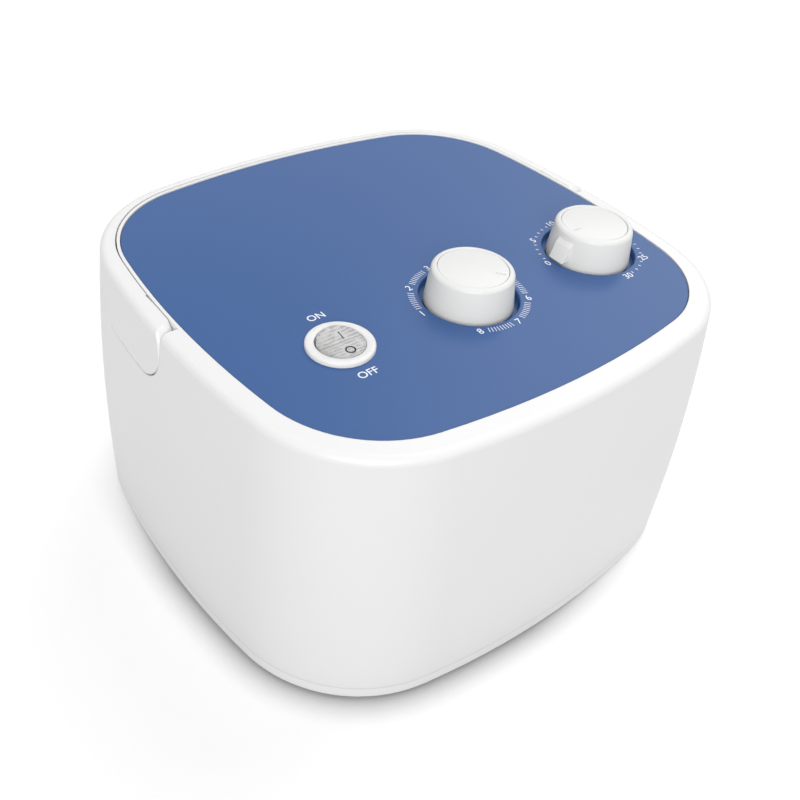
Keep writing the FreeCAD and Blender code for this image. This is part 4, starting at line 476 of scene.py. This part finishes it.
def prism_lens(name, colour):
    """Clear rocker with rows of short prisms moulded under its face, uneven from place to place.

    Its rim is a little darker than the rest.
    """
    finish, tree, shader = blank_finish(name)
    place = object_place(tree)
    across, along = [
        add(tree, "TexWave", {"bands_direction": axis, "wave_profile": "TRI"}, Vector=place,
            Scale=scale, Distortion=bend, Detail=1.0).outputs["Fac"]
        for axis, scale, bend in PRISM_ROWS]
    patches = add(tree, "TexNoise", Vector=place, Scale=420.0, Detail=4.0, Roughness=0.75)
    strength = stretch(tree, patches.outputs["Fac"], PATCH_SPAN, PATCH_STRENGTH)
    prisms = maths(tree, "MULTIPLY", maths(tree, "MULTIPLY", across, along), strength)
    from_middle = add(tree, "VectorMath", {"operation": "DISTANCE"})
    put(tree, from_middle.inputs[0], place)
    put(tree, from_middle.inputs[1], tuple(SWITCH_SPOT))
    rim = stretch(tree, from_middle.outputs["Value"], (LENS_EDGE - LENS_RIM, LENS_EDGE),
                  (1.0, RIM_SHADE))
    shade = maths(tree, "MULTIPLY", rim, stretch(tree, prisms, PRISM_SPAN, PRISM_SHADE))
    feed(tree, shader, Base_Color=shaded(tree, colour, shade), Transmission_Weight=0.35,
         Roughness=0.18, IOR=ACRYLIC_IOR, Coat_Weight=0.6, Coat_Roughness=0.05)
    relief(tree, shader, prisms, depth=0.12, soft_radius=0.1)
    return finish


CASE_COLOUR = (0.885, 0.885, 0.885)

# for each slot of the record: the kind of finish, its colour, and what differs from the kind's own
RECIPES = {
    "case_white": (plastic, CASE_COLOUR, dict(
        roughness=0.34, grain_depth=0.006, drift=0.02, soft_radius=0.35, seam=SEAM_HEIGHT)),
    "base_white": (plastic, CASE_COLOUR, dict(
        roughness=0.38, grain_depth=0.008, drift=0.02, soft_radius=0.35, seam=SEAM_HEIGHT)),
    "panel_blue": (plastic, (0.048, 0.122, 0.325), dict(
        roughness=0.34, grain_size=0.22, grain_depth=0.004, drift=0.05, gloss=0.2,
        bounce=(0.16, 0.175, 0.2))),
    "knob_white": (plastic, (0.85, 0.848, 0.842), dict(
        roughness=0.34, grain_depth=0.004, drift=0.015, soft_radius=0.2, gloss=0.3)),
    "switch_white": (plastic, (0.865, 0.865, 0.86), dict(
        roughness=0.28, grain_depth=0.002, drift=0.01, soft_radius=0.2, gloss=0.35)),
    "rocker_clear": (prism_lens, (0.66, 0.66, 0.655), {}),
    "rear_grey": (plastic, (0.50, 0.51, 0.53), dict(roughness=0.45, grain_size=0.5, grain_depth=0.02)),
    "black_plastic": (plastic, (0.022, 0.022, 0.025), dict(
        roughness=0.4, grain_size=0.4, grain_depth=0.012, drift=0.2)),
    "socket_grey": (plastic, (0.30, 0.31, 0.33), dict(
        roughness=0.42, grain_size=0.4, grain_depth=0.012)),
    "foot_rubber": (plastic, (0.035, 0.035, 0.037), dict(
        roughness=0.75, grain_size=0.6, grain_depth=0.03, drift=0.25)),
    "pump_nylon": (plastic, (0.63, 0.62, 0.57), dict(roughness=0.45, grain_size=0.4)),
    "rotor_plastic": (plastic, (0.08, 0.20, 0.42), dict(roughness=0.35, grain_depth=0.006)),
    "piston_white": (plastic, (0.75, 0.75, 0.71), dict(roughness=0.3, grain_depth=0.004)),
    "pin_steel": (metal, (0.60, 0.60, 0.61), dict(roughness=0.22)),
    "screw_steel": (metal, (0.62, 0.62, 0.63), dict(roughness=0.28)),
    "shaft_steel": (metal, (0.64, 0.64, 0.65), dict(roughness=0.24)),
    "nut_steel": (metal, (0.58, 0.58, 0.58), dict(roughness=0.3)),
    "contact_brass": (metal, (0.78, 0.60, 0.28), dict(roughness=0.3)),
    "pump_aluminium": (metal, (0.66, 0.67, 0.69), dict(
        roughness=0.5, fineness=500.0, depth=0.02, patchiness=0.25)),
    "frame_steel": (metal, (0.56, 0.57, 0.59), dict(roughness=0.38, fineness=500.0)),
    "core_iron": (laminated, (0.26, 0.26, 0.27), {}),
    "magnet_grey": (metal, (0.20, 0.20, 0.21), dict(roughness=0.55, fineness=400.0, depth=0.01)),
    "coil_copper": (wound_wire, (0.62, 0.30, 0.13), {}),
    "fuse_glass": (clear, (0.93, 0.95, 0.95), dict(roughness=0.03, ior=1.5)),
    "clear_tube": (clear, (0.86, 0.88, 0.88), dict(roughness=0.16)),
    "filter_foam": (open_foam, (0.10, 0.10, 0.11), {}),
}
FINISHES = {slot: make(slot, colour, **looks) for slot, (make, colour, looks) in RECIPES.items()}


def make_ink(name, colour):
    """Screen-printed ink: almost flat, with a faint unevenness."""
    return plastic(name, colour, roughness=0.5, grain_size=0.15, grain_depth=0.002, drift=0.06,
                   soft_radius=0.02, gloss=0.2)


WHITE_INK = make_ink("white_ink", (0.90, 0.93, 0.96))
DARK_INK = make_ink("dark_ink", (0.008, 0.008, 0.009))


def dress_cad_nodes():
    """Give every CAD node the finish of its slot in the record."""
    for part in frame["record"]["subparts"]:
        node = frame["nodes"][part["node"]]
        for index in range(len(node.data.materials)):
            node.data.materials[index] = FINISHES[part["material_slot"]]


# ---------------------------------------------------------------------------------------
# Shaping helpers
# ---------------------------------------------------------------------------------------

def in_scene(name, data):
    """A new object for a mesh, lettering, a lamp or a camera."""
    made = bpy.data.objects.new(name, data)
    bpy.context.scene.collection.objects.link(made)
    return made


def mesh_from(shape, name):
    """The mesh of a bmesh, which is freed."""
    mesh = bpy.data.meshes.new(name)
    shape.to_mesh(mesh)
    shape.free()
    return mesh


def evaluated_mesh(piece):
    """A mesh of what an object becomes with its modifiers or its lettering worked out."""
    seen = bpy.context.evaluated_depsgraph_get()
    return bpy.data.meshes.new_from_object(piece.evaluated_get(seen))


def finished(shape, name, finish, body, replaced=()):
    """Make a piece from a bmesh, dress it and let it ride on its body."""
    mesh = mesh_from(shape, name)
    piece = in_scene(name, mesh)
    mesh.materials.append(finish)
    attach(piece, body)
    if replaced:
        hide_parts(*replaced)
    return piece


def smooth_by_angle(shape, degrees=CREASE):
    """Smooth faces, with an edge left crisp where it turns by more than the angle."""
    limit = math.radians(degrees)
    for face in shape.faces:
        face.smooth = True
    for edge in shape.edges:
        edge.smooth = len(edge.link_faces) == 2 and edge.calc_face_angle(0.0) < limit


def soften(shape, edges, size, segments):
    """Round a set of edges."""
    bmesh.ops.bevel(shape, geom=list(edges), offset=size, offset_type="OFFSET", affect="EDGES",
                    segments=segments, profile=0.5, material=-1, clamp_overlap=True)


def ring_edges(shape, radius, height):
    """The edges of a turned shape that lie on one circle about Z."""
    def on_circle(vert):
        return (abs(math.hypot(vert.co.x, vert.co.y) - radius) < SLACK
                and abs(vert.co.z - height) < SLACK)
    return [edge for edge in shape.edges if all(on_circle(vert) for vert in edge.verts)]


def upright_edges(shape):
    """The edges of a block that run up and down."""
    return [edge for edge in shape.edges if abs(edge.verts[0].co.z - edge.verts[1].co.z) > SLACK]


def turn_profile(points, steps=TURN_STEPS):
    """Spin a half profile of (radius, height) points about Z."""
    shape = bmesh.new()
    verts = [shape.verts.new((radius, 0.0, height)) for radius, height in points]
    edges = [shape.edges.new(pair) for pair in zip(verts, verts[1:])]
    bmesh.ops.spin(shape, geom=verts + edges, cent=(0, 0, 0), axis=(0, 0, 1), angle=2 * math.pi,
                   steps=steps, use_merge=True)
    bmesh.ops.remove_doubles(shape, verts=shape.verts, dist=MERGE)
    bmesh.ops.recalc_face_normals(shape, faces=shape.faces)
    return shape


def moved(shape, spot, turn=0.0):
    """Turn a shape about Z and put it at its place."""
    bmesh.ops.rotate(shape, verts=shape.verts, cent=(0, 0, 0), matrix=Matrix.Rotation(turn, 3, "Z"))
    bmesh.ops.translate(shape, verts=shape.verts, vec=spot)
    return shape


def block(size, centre):
    """A box of a size about a centre."""
    shape = bmesh.new()
    bmesh.ops.create_cube(shape, size=1.0)
    bmesh.ops.scale(shape, verts=shape.verts, vec=size)
    bmesh.ops.translate(shape, verts=shape.verts, vec=centre)
    return shape


def bisect(shape, point, normal, drop_outer=False):
    """Cut a whole shape through by a plane; returns the edges of the cut."""
    cut = bmesh.ops.bisect_plane(shape, geom=shape.verts[:] + shape.edges[:] + shape.faces[:],
                                 plane_co=point, plane_no=normal, clear_outer=drop_outer)
    return [item for item in cut["geom_cut"] if isinstance(item, bmesh.types.BMEdge)]


def join(shape, other):
    """Add another shape to a shape, and free it."""
    mesh = mesh_from(other, "joined")
    shape.from_mesh(mesh)
    bpy.data.meshes.remove(mesh)


def cut_with(piece, tool_shape, name):
    """Take a shape away from a piece for good."""
    tool = in_scene(name, mesh_from(tool_shape, name))
    step = piece.modifiers.new("difference", "BOOLEAN")
    step.operation = "DIFFERENCE"
    step.solver = "EXACT"
    step.object = tool
    mesh = evaluated_mesh(piece)
    piece.modifiers.clear()
    whole = piece.data
    piece.data = mesh
    mesh.name = piece.name
    bpy.data.meshes.remove(whole)
    bpy.data.objects.remove(tool)


# ---------------------------------------------------------------------------------------
# Knobs
# ---------------------------------------------------------------------------------------

def knob_shell():
    """A tapered knob, hollow below, with a seat for its disc and a soft shoulder."""
    roof = KNOB_HEIGHT - KNOB_ROOF
    seat = KNOB_HEIGHT - CAP_THICKNESS
    seat_radius = CAP_RADIUS + CAP_GROOVE
    shape = turn_profile([
        (0.0, roof),
        (KNOB_TOP_RADIUS - KNOB_WALL, roof),
        (KNOB_BASE_RADIUS - KNOB_WALL, KNOB_FOOT),
        (KNOB_BASE_RADIUS, KNOB_FOOT),
        (KNOB_TOP_RADIUS, KNOB_HEIGHT),
        (seat_radius, KNOB_HEIGHT),
        (seat_radius, seat),
        (0.0, seat),
    ])
    soften(shape, ring_edges(shape, KNOB_TOP_RADIUS, KNOB_HEIGHT), KNOB_ROUND, segments=8)
    soften(shape, ring_edges(shape, seat_radius, KNOB_HEIGHT), KNOB_SEAT_ROUND, segments=3)
    soften(shape, ring_edges(shape, KNOB_BASE_RADIUS, KNOB_FOOT), KNOB_FOOT_ROUND, segments=3)
    return shape


def pointer_wedge():
    """The raised pointer on the timer knob's side: it leans in, with a sloped facet at its top."""
    start = KNOB_TOP_RADIUS - POINTER_ROOT
    shape = block((POINTER_REACH - start, POINTER_WIDTH, POINTER_TOP - POINTER_BOTTOM),
                  ((POINTER_REACH + start) / 2, 0.0, (POINTER_TOP + POINTER_BOTTOM) / 2))
    outer_top = [vert for vert in shape.verts
                 if vert.co.x > (start + POINTER_REACH) / 2 and vert.co.z > POINTER_TOP - SLACK]
    bmesh.ops.translate(shape, verts=outer_top, vec=(-POINTER_LEAN, 0, 0))
    facet = bisect(shape, (POINTER_FACET[0], 0, POINTER_FACET[1]), (1, 0, 1), drop_outer=True)
    bmesh.ops.holes_fill(shape, edges=facet, sides=0)
    bmesh.ops.recalc_face_normals(shape, faces=shape.faces)
    showing = [edge for edge in shape.edges if max(vert.co.x for vert in edge.verts) > start + SLACK]
    soften(shape, showing, POINTER_ROUND, segments=3)
    return shape


def knob_disc():
    """The disc that is let into a knob's top, without its mark."""
    top = KNOB_HEIGHT - CAP_SINK
    shape = turn_profile([
        (0.0, KNOB_HEIGHT - CAP_THICKNESS),
        (CAP_RADIUS, KNOB_HEIGHT - CAP_THICKNESS),
        (CAP_RADIUS, top),
        (0.0, top),
    ])
    soften(shape, ring_edges(shape, CAP_RADIUS, top), CAP_ROUND, segments=4)
    return shape


def mark_groove():
    """What is taken from a disc for its setting mark: a short radial slot with round ends."""
    shape = block((MARK_LENGTH, MARK_WIDTH, 2 * MARK_DEPTH),
                  (MARK_START + MARK_LENGTH / 2, 0, KNOB_HEIGHT - CAP_SINK))
    soften(shape, upright_edges(shape), MARK_ROUND, segments=5)
    return shape


def make_knob(name, spot, turn, with_pointer):
    """A knob's shell and its disc, with the mark and any pointer at their setting."""
    body = name.replace("knob", "control")
    shell = knob_shell()
    if with_pointer:
        join(shell, moved(pointer_wedge(), (0, 0, 0), turn))
    pieces = []
    for shape, label, node in ((shell, "shell", name), (knob_disc(), "disc", f"{name}_cap")):
        smooth_by_angle(shape)
        pieces.append(finished(moved(shape, spot), f"{name}_{label}", FINISHES["knob_white"], body,
                               [node]))
    cut_with(pieces[1], moved(mark_groove(), spot, turn), f"{name}_groove")


# ---------------------------------------------------------------------------------------
# Round rocker switch
# ---------------------------------------------------------------------------------------

def make_switch_ring():
    """White bezel with a rounded rim, dished towards its opening, and its barrel."""
    inner_top = RING_HEIGHT - RING_DISH
    floor_top = RING_FLOOR - RING_DEPTH
    shape = turn_profile([
        (RING_BARREL, -RING_DEPTH),
        (RING_BARREL, 0.0),
        (RING_RADIUS, 0.0),
        (RING_RADIUS, RING_HEIGHT),
        (RING_OPENING + RING_DISH_WIDTH, RING_HEIGHT),
        (RING_OPENING, inner_top),
        (RING_OPENING, floor_top),
        (0.0, floor_top),
        (0.0, -RING_DEPTH),
        (RING_BARREL, -RING_DEPTH),
    ])
    soften(shape, ring_edges(shape, RING_RADIUS, RING_HEIGHT), RING_RIM_ROUND, segments=6)
    soften(shape, ring_edges(shape, RING_OPENING, inner_top), RING_MOUTH_ROUND, segments=4)
    smooth_by_angle(shape)
    finished(moved(shape, SWITCH_SPOT), "switch_bezel", FINISHES["switch_white"], CASE,
             ["switch_frame"])


def rocker_place():
    """From the rocker's own axes to its place, with its rest tilt."""
    lift = Vector((0, 0, -ROCKER_DROP))
    return Matrix.Translation(SWITCH_SPOT + lift) @ Matrix.Rotation(ROCKER_TILT, 4, "X")


def lens_rise(y):
    """How much higher the rocker's face is than at its middle, at a distance from there."""
    return ROCKER_WING * (abs(y) / ROCKER_RADIUS) ** ROCKER_POWER


def rocker_blank():
    """Round lens with two faces that rise to the front and the back, and its edge rounded."""
    shape = bmesh.new()
    made = bmesh.ops.create_circle(shape, cap_ends=True, segments=ROCKER_STEPS, radius=ROCKER_RADIUS)
    bmesh.ops.translate(shape, verts=made["verts"], vec=(0, 0, ROCKER_MIDDLE))
    for cut in range(-ROCKER_CUTS, ROCKER_CUTS + 1):
        bisect(shape, (0, cut * ROCKER_RADIUS / (ROCKER_CUTS + 0.5), 0), (0, 1, 0))
    for vert in shape.verts:
        vert.co.z += lens_rise(vert.co.y)
    top = shape.faces[:]
    rim = [edge for edge in shape.edges if edge.is_boundary]
    sides = bmesh.ops.extrude_edge_only(shape, edges=rim)
    low = [item for item in sides["geom"] if isinstance(item, bmesh.types.BMVert)]
    for vert in low:
        vert.co.z = ROCKER_BOTTOM
    bottom = [edge for edge in shape.edges if edge.is_boundary]
    bmesh.ops.holes_fill(shape, edges=bottom, sides=0)
    bmesh.ops.recalc_face_normals(shape, faces=shape.faces)
    # the edges of the face that have a wall beside them
    shoulder = [edge for face in top if face.is_valid for edge in face.edges
                if any(abs(side.normal.z) < STEEP for side in edge.link_faces)]
    soften(shape, set(shoulder), ROCKER_SHOULDER, segments=4)
    bmesh.ops.scale(shape, verts=shape.verts, vec=(ROCKER_BREADTH / ROCKER_RADIUS, 1, 1))
    return shape


def make_rocker():
    """The clear rocker, tipped to its rest place, with its two marks."""
    shape = rocker_blank()
    smooth_by_angle(shape, ROCKER_CREASE)
    bmesh.ops.transform(shape, matrix=rocker_place(), verts=shape.verts)
    finished(shape, "switch_lens", FINISHES["rocker_clear"], "power_rocker",
             ["switch_rocker"])
    make_rocker_marks()


def make_rocker_marks():
    """The line and circle moulded into the lens and filled with dark ink."""
    line = block((*LINE_SIZE, INLAY_THICKNESS), (0, 0, 0))
    soften(line, upright_edges(line), LINE_ROUND, segments=4)
    inner, outer = CIRCLE_RADII
    low, high = -INLAY_THICKNESS / 2, INLAY_THICKNESS / 2
    circle = turn_profile([(inner, low), (outer, low), (outer, high), (inner, high), (inner, low)],
                          CIRCLE_STEPS)
    for name, mark, (x, y) in (("lens_line", line, LINE_PLACE), ("lens_circle", circle, CIRCLE_PLACE)):
        slope = math.atan((lens_rise(y + MM) - lens_rise(y - MM)) / (2 * MM))
        height = ROCKER_MIDDLE + lens_rise(y)
        lie = Matrix.Translation((x, y, height)) @ Matrix.Rotation(slope, 4, "X")
        bmesh.ops.transform(mark, matrix=rocker_place() @ lie, verts=mark.verts)
        smooth_by_angle(mark)
        finished(mark, name, DARK_INK, "power_rocker")


# ---------------------------------------------------------------------------------------
# Printing on the panel
# ---------------------------------------------------------------------------------------

def printed_text(text, height, spot, bold):
    """Lettering as a thin solid, centred on a spot of the panel."""
    letters = bpy.data.curves.new("letters", "FONT")
    letters.body = text
    letters.align_x = "CENTER"
    letters.align_y = "CENTER"
    letters.size = height / CAPITAL_SHARE
    letters.extrude = INK_THICKNESS / 2
    letters.offset = bold
    letters.resolution_u = 4
    holder = in_scene("letters", letters)
    mesh = evaluated_mesh(holder)
    bpy.data.objects.remove(holder)
    shape = bmesh.new()
    shape.from_mesh(mesh)
    bpy.data.meshes.remove(mesh)
    bmesh.ops.remove_doubles(shape, verts=shape.verts, dist=LETTER_MERGE)
    return moved(shape, spot + Vector((0, 0, INK_THICKNESS / 2)))


def dial_point(centre, degrees):
    """The middle of a number on a dial."""
    angle = math.radians(degrees)
    return centre + Vector((DIAL_RADIUS * math.cos(angle), DIAL_RADIUS * math.sin(angle), 0.0))


def tick(centre, degrees, inner, outer, width):
    """A short radial stroke."""
    shape = block((outer - inner, width, INK_THICKNESS), ((inner + outer) / 2, 0, INK_THICKNESS / 2))
    return moved(shape, centre, math.radians(degrees))


def make_dial(name, centre, numbers, first, step, shares, stroke):
    """Numbers round a knob, with strokes between each two."""
    shape = bmesh.new()
    for index, number in enumerate(numbers):
        degrees = first + index * step
        join(shape, printed_text(number, DIGIT_HEIGHT, dial_point(centre, degrees), DIGIT_BOLD))
        if index < len(numbers) - 1:
            for share in shares:
                join(shape, tick(centre, degrees + step * share, *stroke))
    finished(shape, name, WHITE_INK, CASE)


def make_switch_print():
    """ON behind the switch and OFF in front of it."""
    shape = printed_text("ON", WORD_HEIGHT, ON_SPOT, WORD_BOLD)
    join(shape, printed_text("OFF", WORD_HEIGHT, OFF_SPOT, WORD_BOLD))
    finished(shape, "switch_print", WHITE_INK, CASE)


# ---------------------------------------------------------------------------------------
# Floor, light and camera
# ---------------------------------------------------------------------------------------

def backdrop_rays(tree):
    """One for the rays that show the backdrop: the camera's own and those in gloss and glass."""
    path = add(tree, "LightPath").outputs
    shown = maths(tree, "MAXIMUM", path["Is Camera Ray"], path["Is Glossy Ray"])
    return maths(tree, "MAXIMUM", shown, path["Is Transmission Ray"])


def contact_light(tree):
    """How open the floor is to the light, one where it's free; the painted contact shade fades to the
    rear right.
    """
    occlusion = add(tree, "AmbientOcclusion", {"samples": 8}, Distance=CONTACT_REACH).outputs["AO"]
    split = add(tree, "SeparateXYZ", Vector=object_place(tree))
    behind = maths(tree, "ADD", split.outputs["X"], split.outputs["Y"])
    strength = stretch(tree, behind, (CONTACT_FULL, CONTACT_FADED), (1.0, CONTACT_LEAST))
    closed = maths(tree, "MULTIPLY", maths(tree, "SUBTRACT", 1.0, occlusion), strength)
    return maths(tree, "SUBTRACT", 1.0, closed)


def make_floor():
    """A plain pale floor that keeps the object's shadow, with painted contact shade near the pump."""
    shape = bmesh.new()
    bmesh.ops.create_grid(shape, x_segments=FLOOR_SQUARES, y_segments=FLOOR_SQUARES, size=FLOOR_REACH)
    mesh = mesh_from(shape, "floor")
    floor = in_scene("floor", mesh)
    finish, tree, shader = blank_finish("floor_white")
    seen = backdrop_rays(tree)
    near = contact_light(tree)
    # painted contact shadow: the floor's glow and colour drop where it is hidden near the pump
    glow = maths(tree, "MULTIPLY", stretch(tree, near, CONTACT_GLOW), FLOOR_GLOW)
    shown = shaded(tree, FLOOR_SHOWN, stretch(tree, near, CONTACT_COLOUR, (PAINTED_CONTACT_DEPTH, 1.0)))
    feed(tree, shader, Base_Color=mixed(tree, seen, FLOOR_BOUNCE, shown), Roughness=0.9,
         Specular_IOR_Level=0.0, Emission_Color=(1.0, 1.0, 1.0),
         Emission_Strength=maths(tree, "MULTIPLY", seen, glow))
    mesh.materials.append(finish)


def make_lamp(name, level, spread, azimuth, elevation):
    """A distant soft lamp; level is how bright it makes a white surface that faces it."""
    lamp = bpy.data.lights.new(name, "SUN")
    lamp.energy = level * math.pi
    lamp.angle = math.radians(spread)
    turn, lift = math.radians(azimuth), math.radians(elevation)
    towards = Vector((math.cos(lift) * math.cos(turn), math.cos(lift) * math.sin(turn), math.sin(lift)))
    in_scene(name, lamp).rotation_euler = (-towards).to_track_quat("-Z", "Y").to_euler()


def make_light():
    """An even sky, which shows as white but lights the pump less, and two lamps."""
    world = bpy.data.worlds.new("studio")
    bpy.context.scene.world = world
    world.use_nodes = True
    tree = world.node_tree
    level = stretch(tree, backdrop_rays(tree), (0.0, 1.0), (SKY_LEVEL, 1.0))
    feed(tree, tree.nodes["Background"], Color=(1.0, 1.0, 1.0), Strength=level)
    make_lamp("key", *KEY_LAMP)
    make_lamp("back", *BACK_LAMP)


def make_camera():
    """A long lens from the front left, looking down at forty degrees."""
    camera = bpy.data.cameras.new("camera")
    camera.sensor_width = CAMERA_SENSOR
    camera.lens = CAMERA_LENS
    camera.clip_start = CAMERA_NEAREST
    holder = in_scene("camera", camera)
    holder.matrix_world = Matrix.Translation(CAMERA_SPOT) @ Matrix(CAMERA_AXES).transposed().to_4x4()
    bpy.context.scene.camera = holder
    bpy.context.scene.view_settings.view_transform = "Standard"


make_camera()
make_light()
make_floor()
dress_cad_nodes()
make_knob("pressure_knob", PRESSURE_SPOT, PRESSURE_SET, False)
make_knob("timer_knob", TIMER_SPOT, TIMER_SET, True)
make_switch_ring()
make_rocker()
make_dial("pressure_dial_print", PRESSURE_SPOT, *PRESSURE_DIAL)
make_dial("timer_dial_print", TIMER_SPOT, *TIMER_DIAL)
make_switch_print()
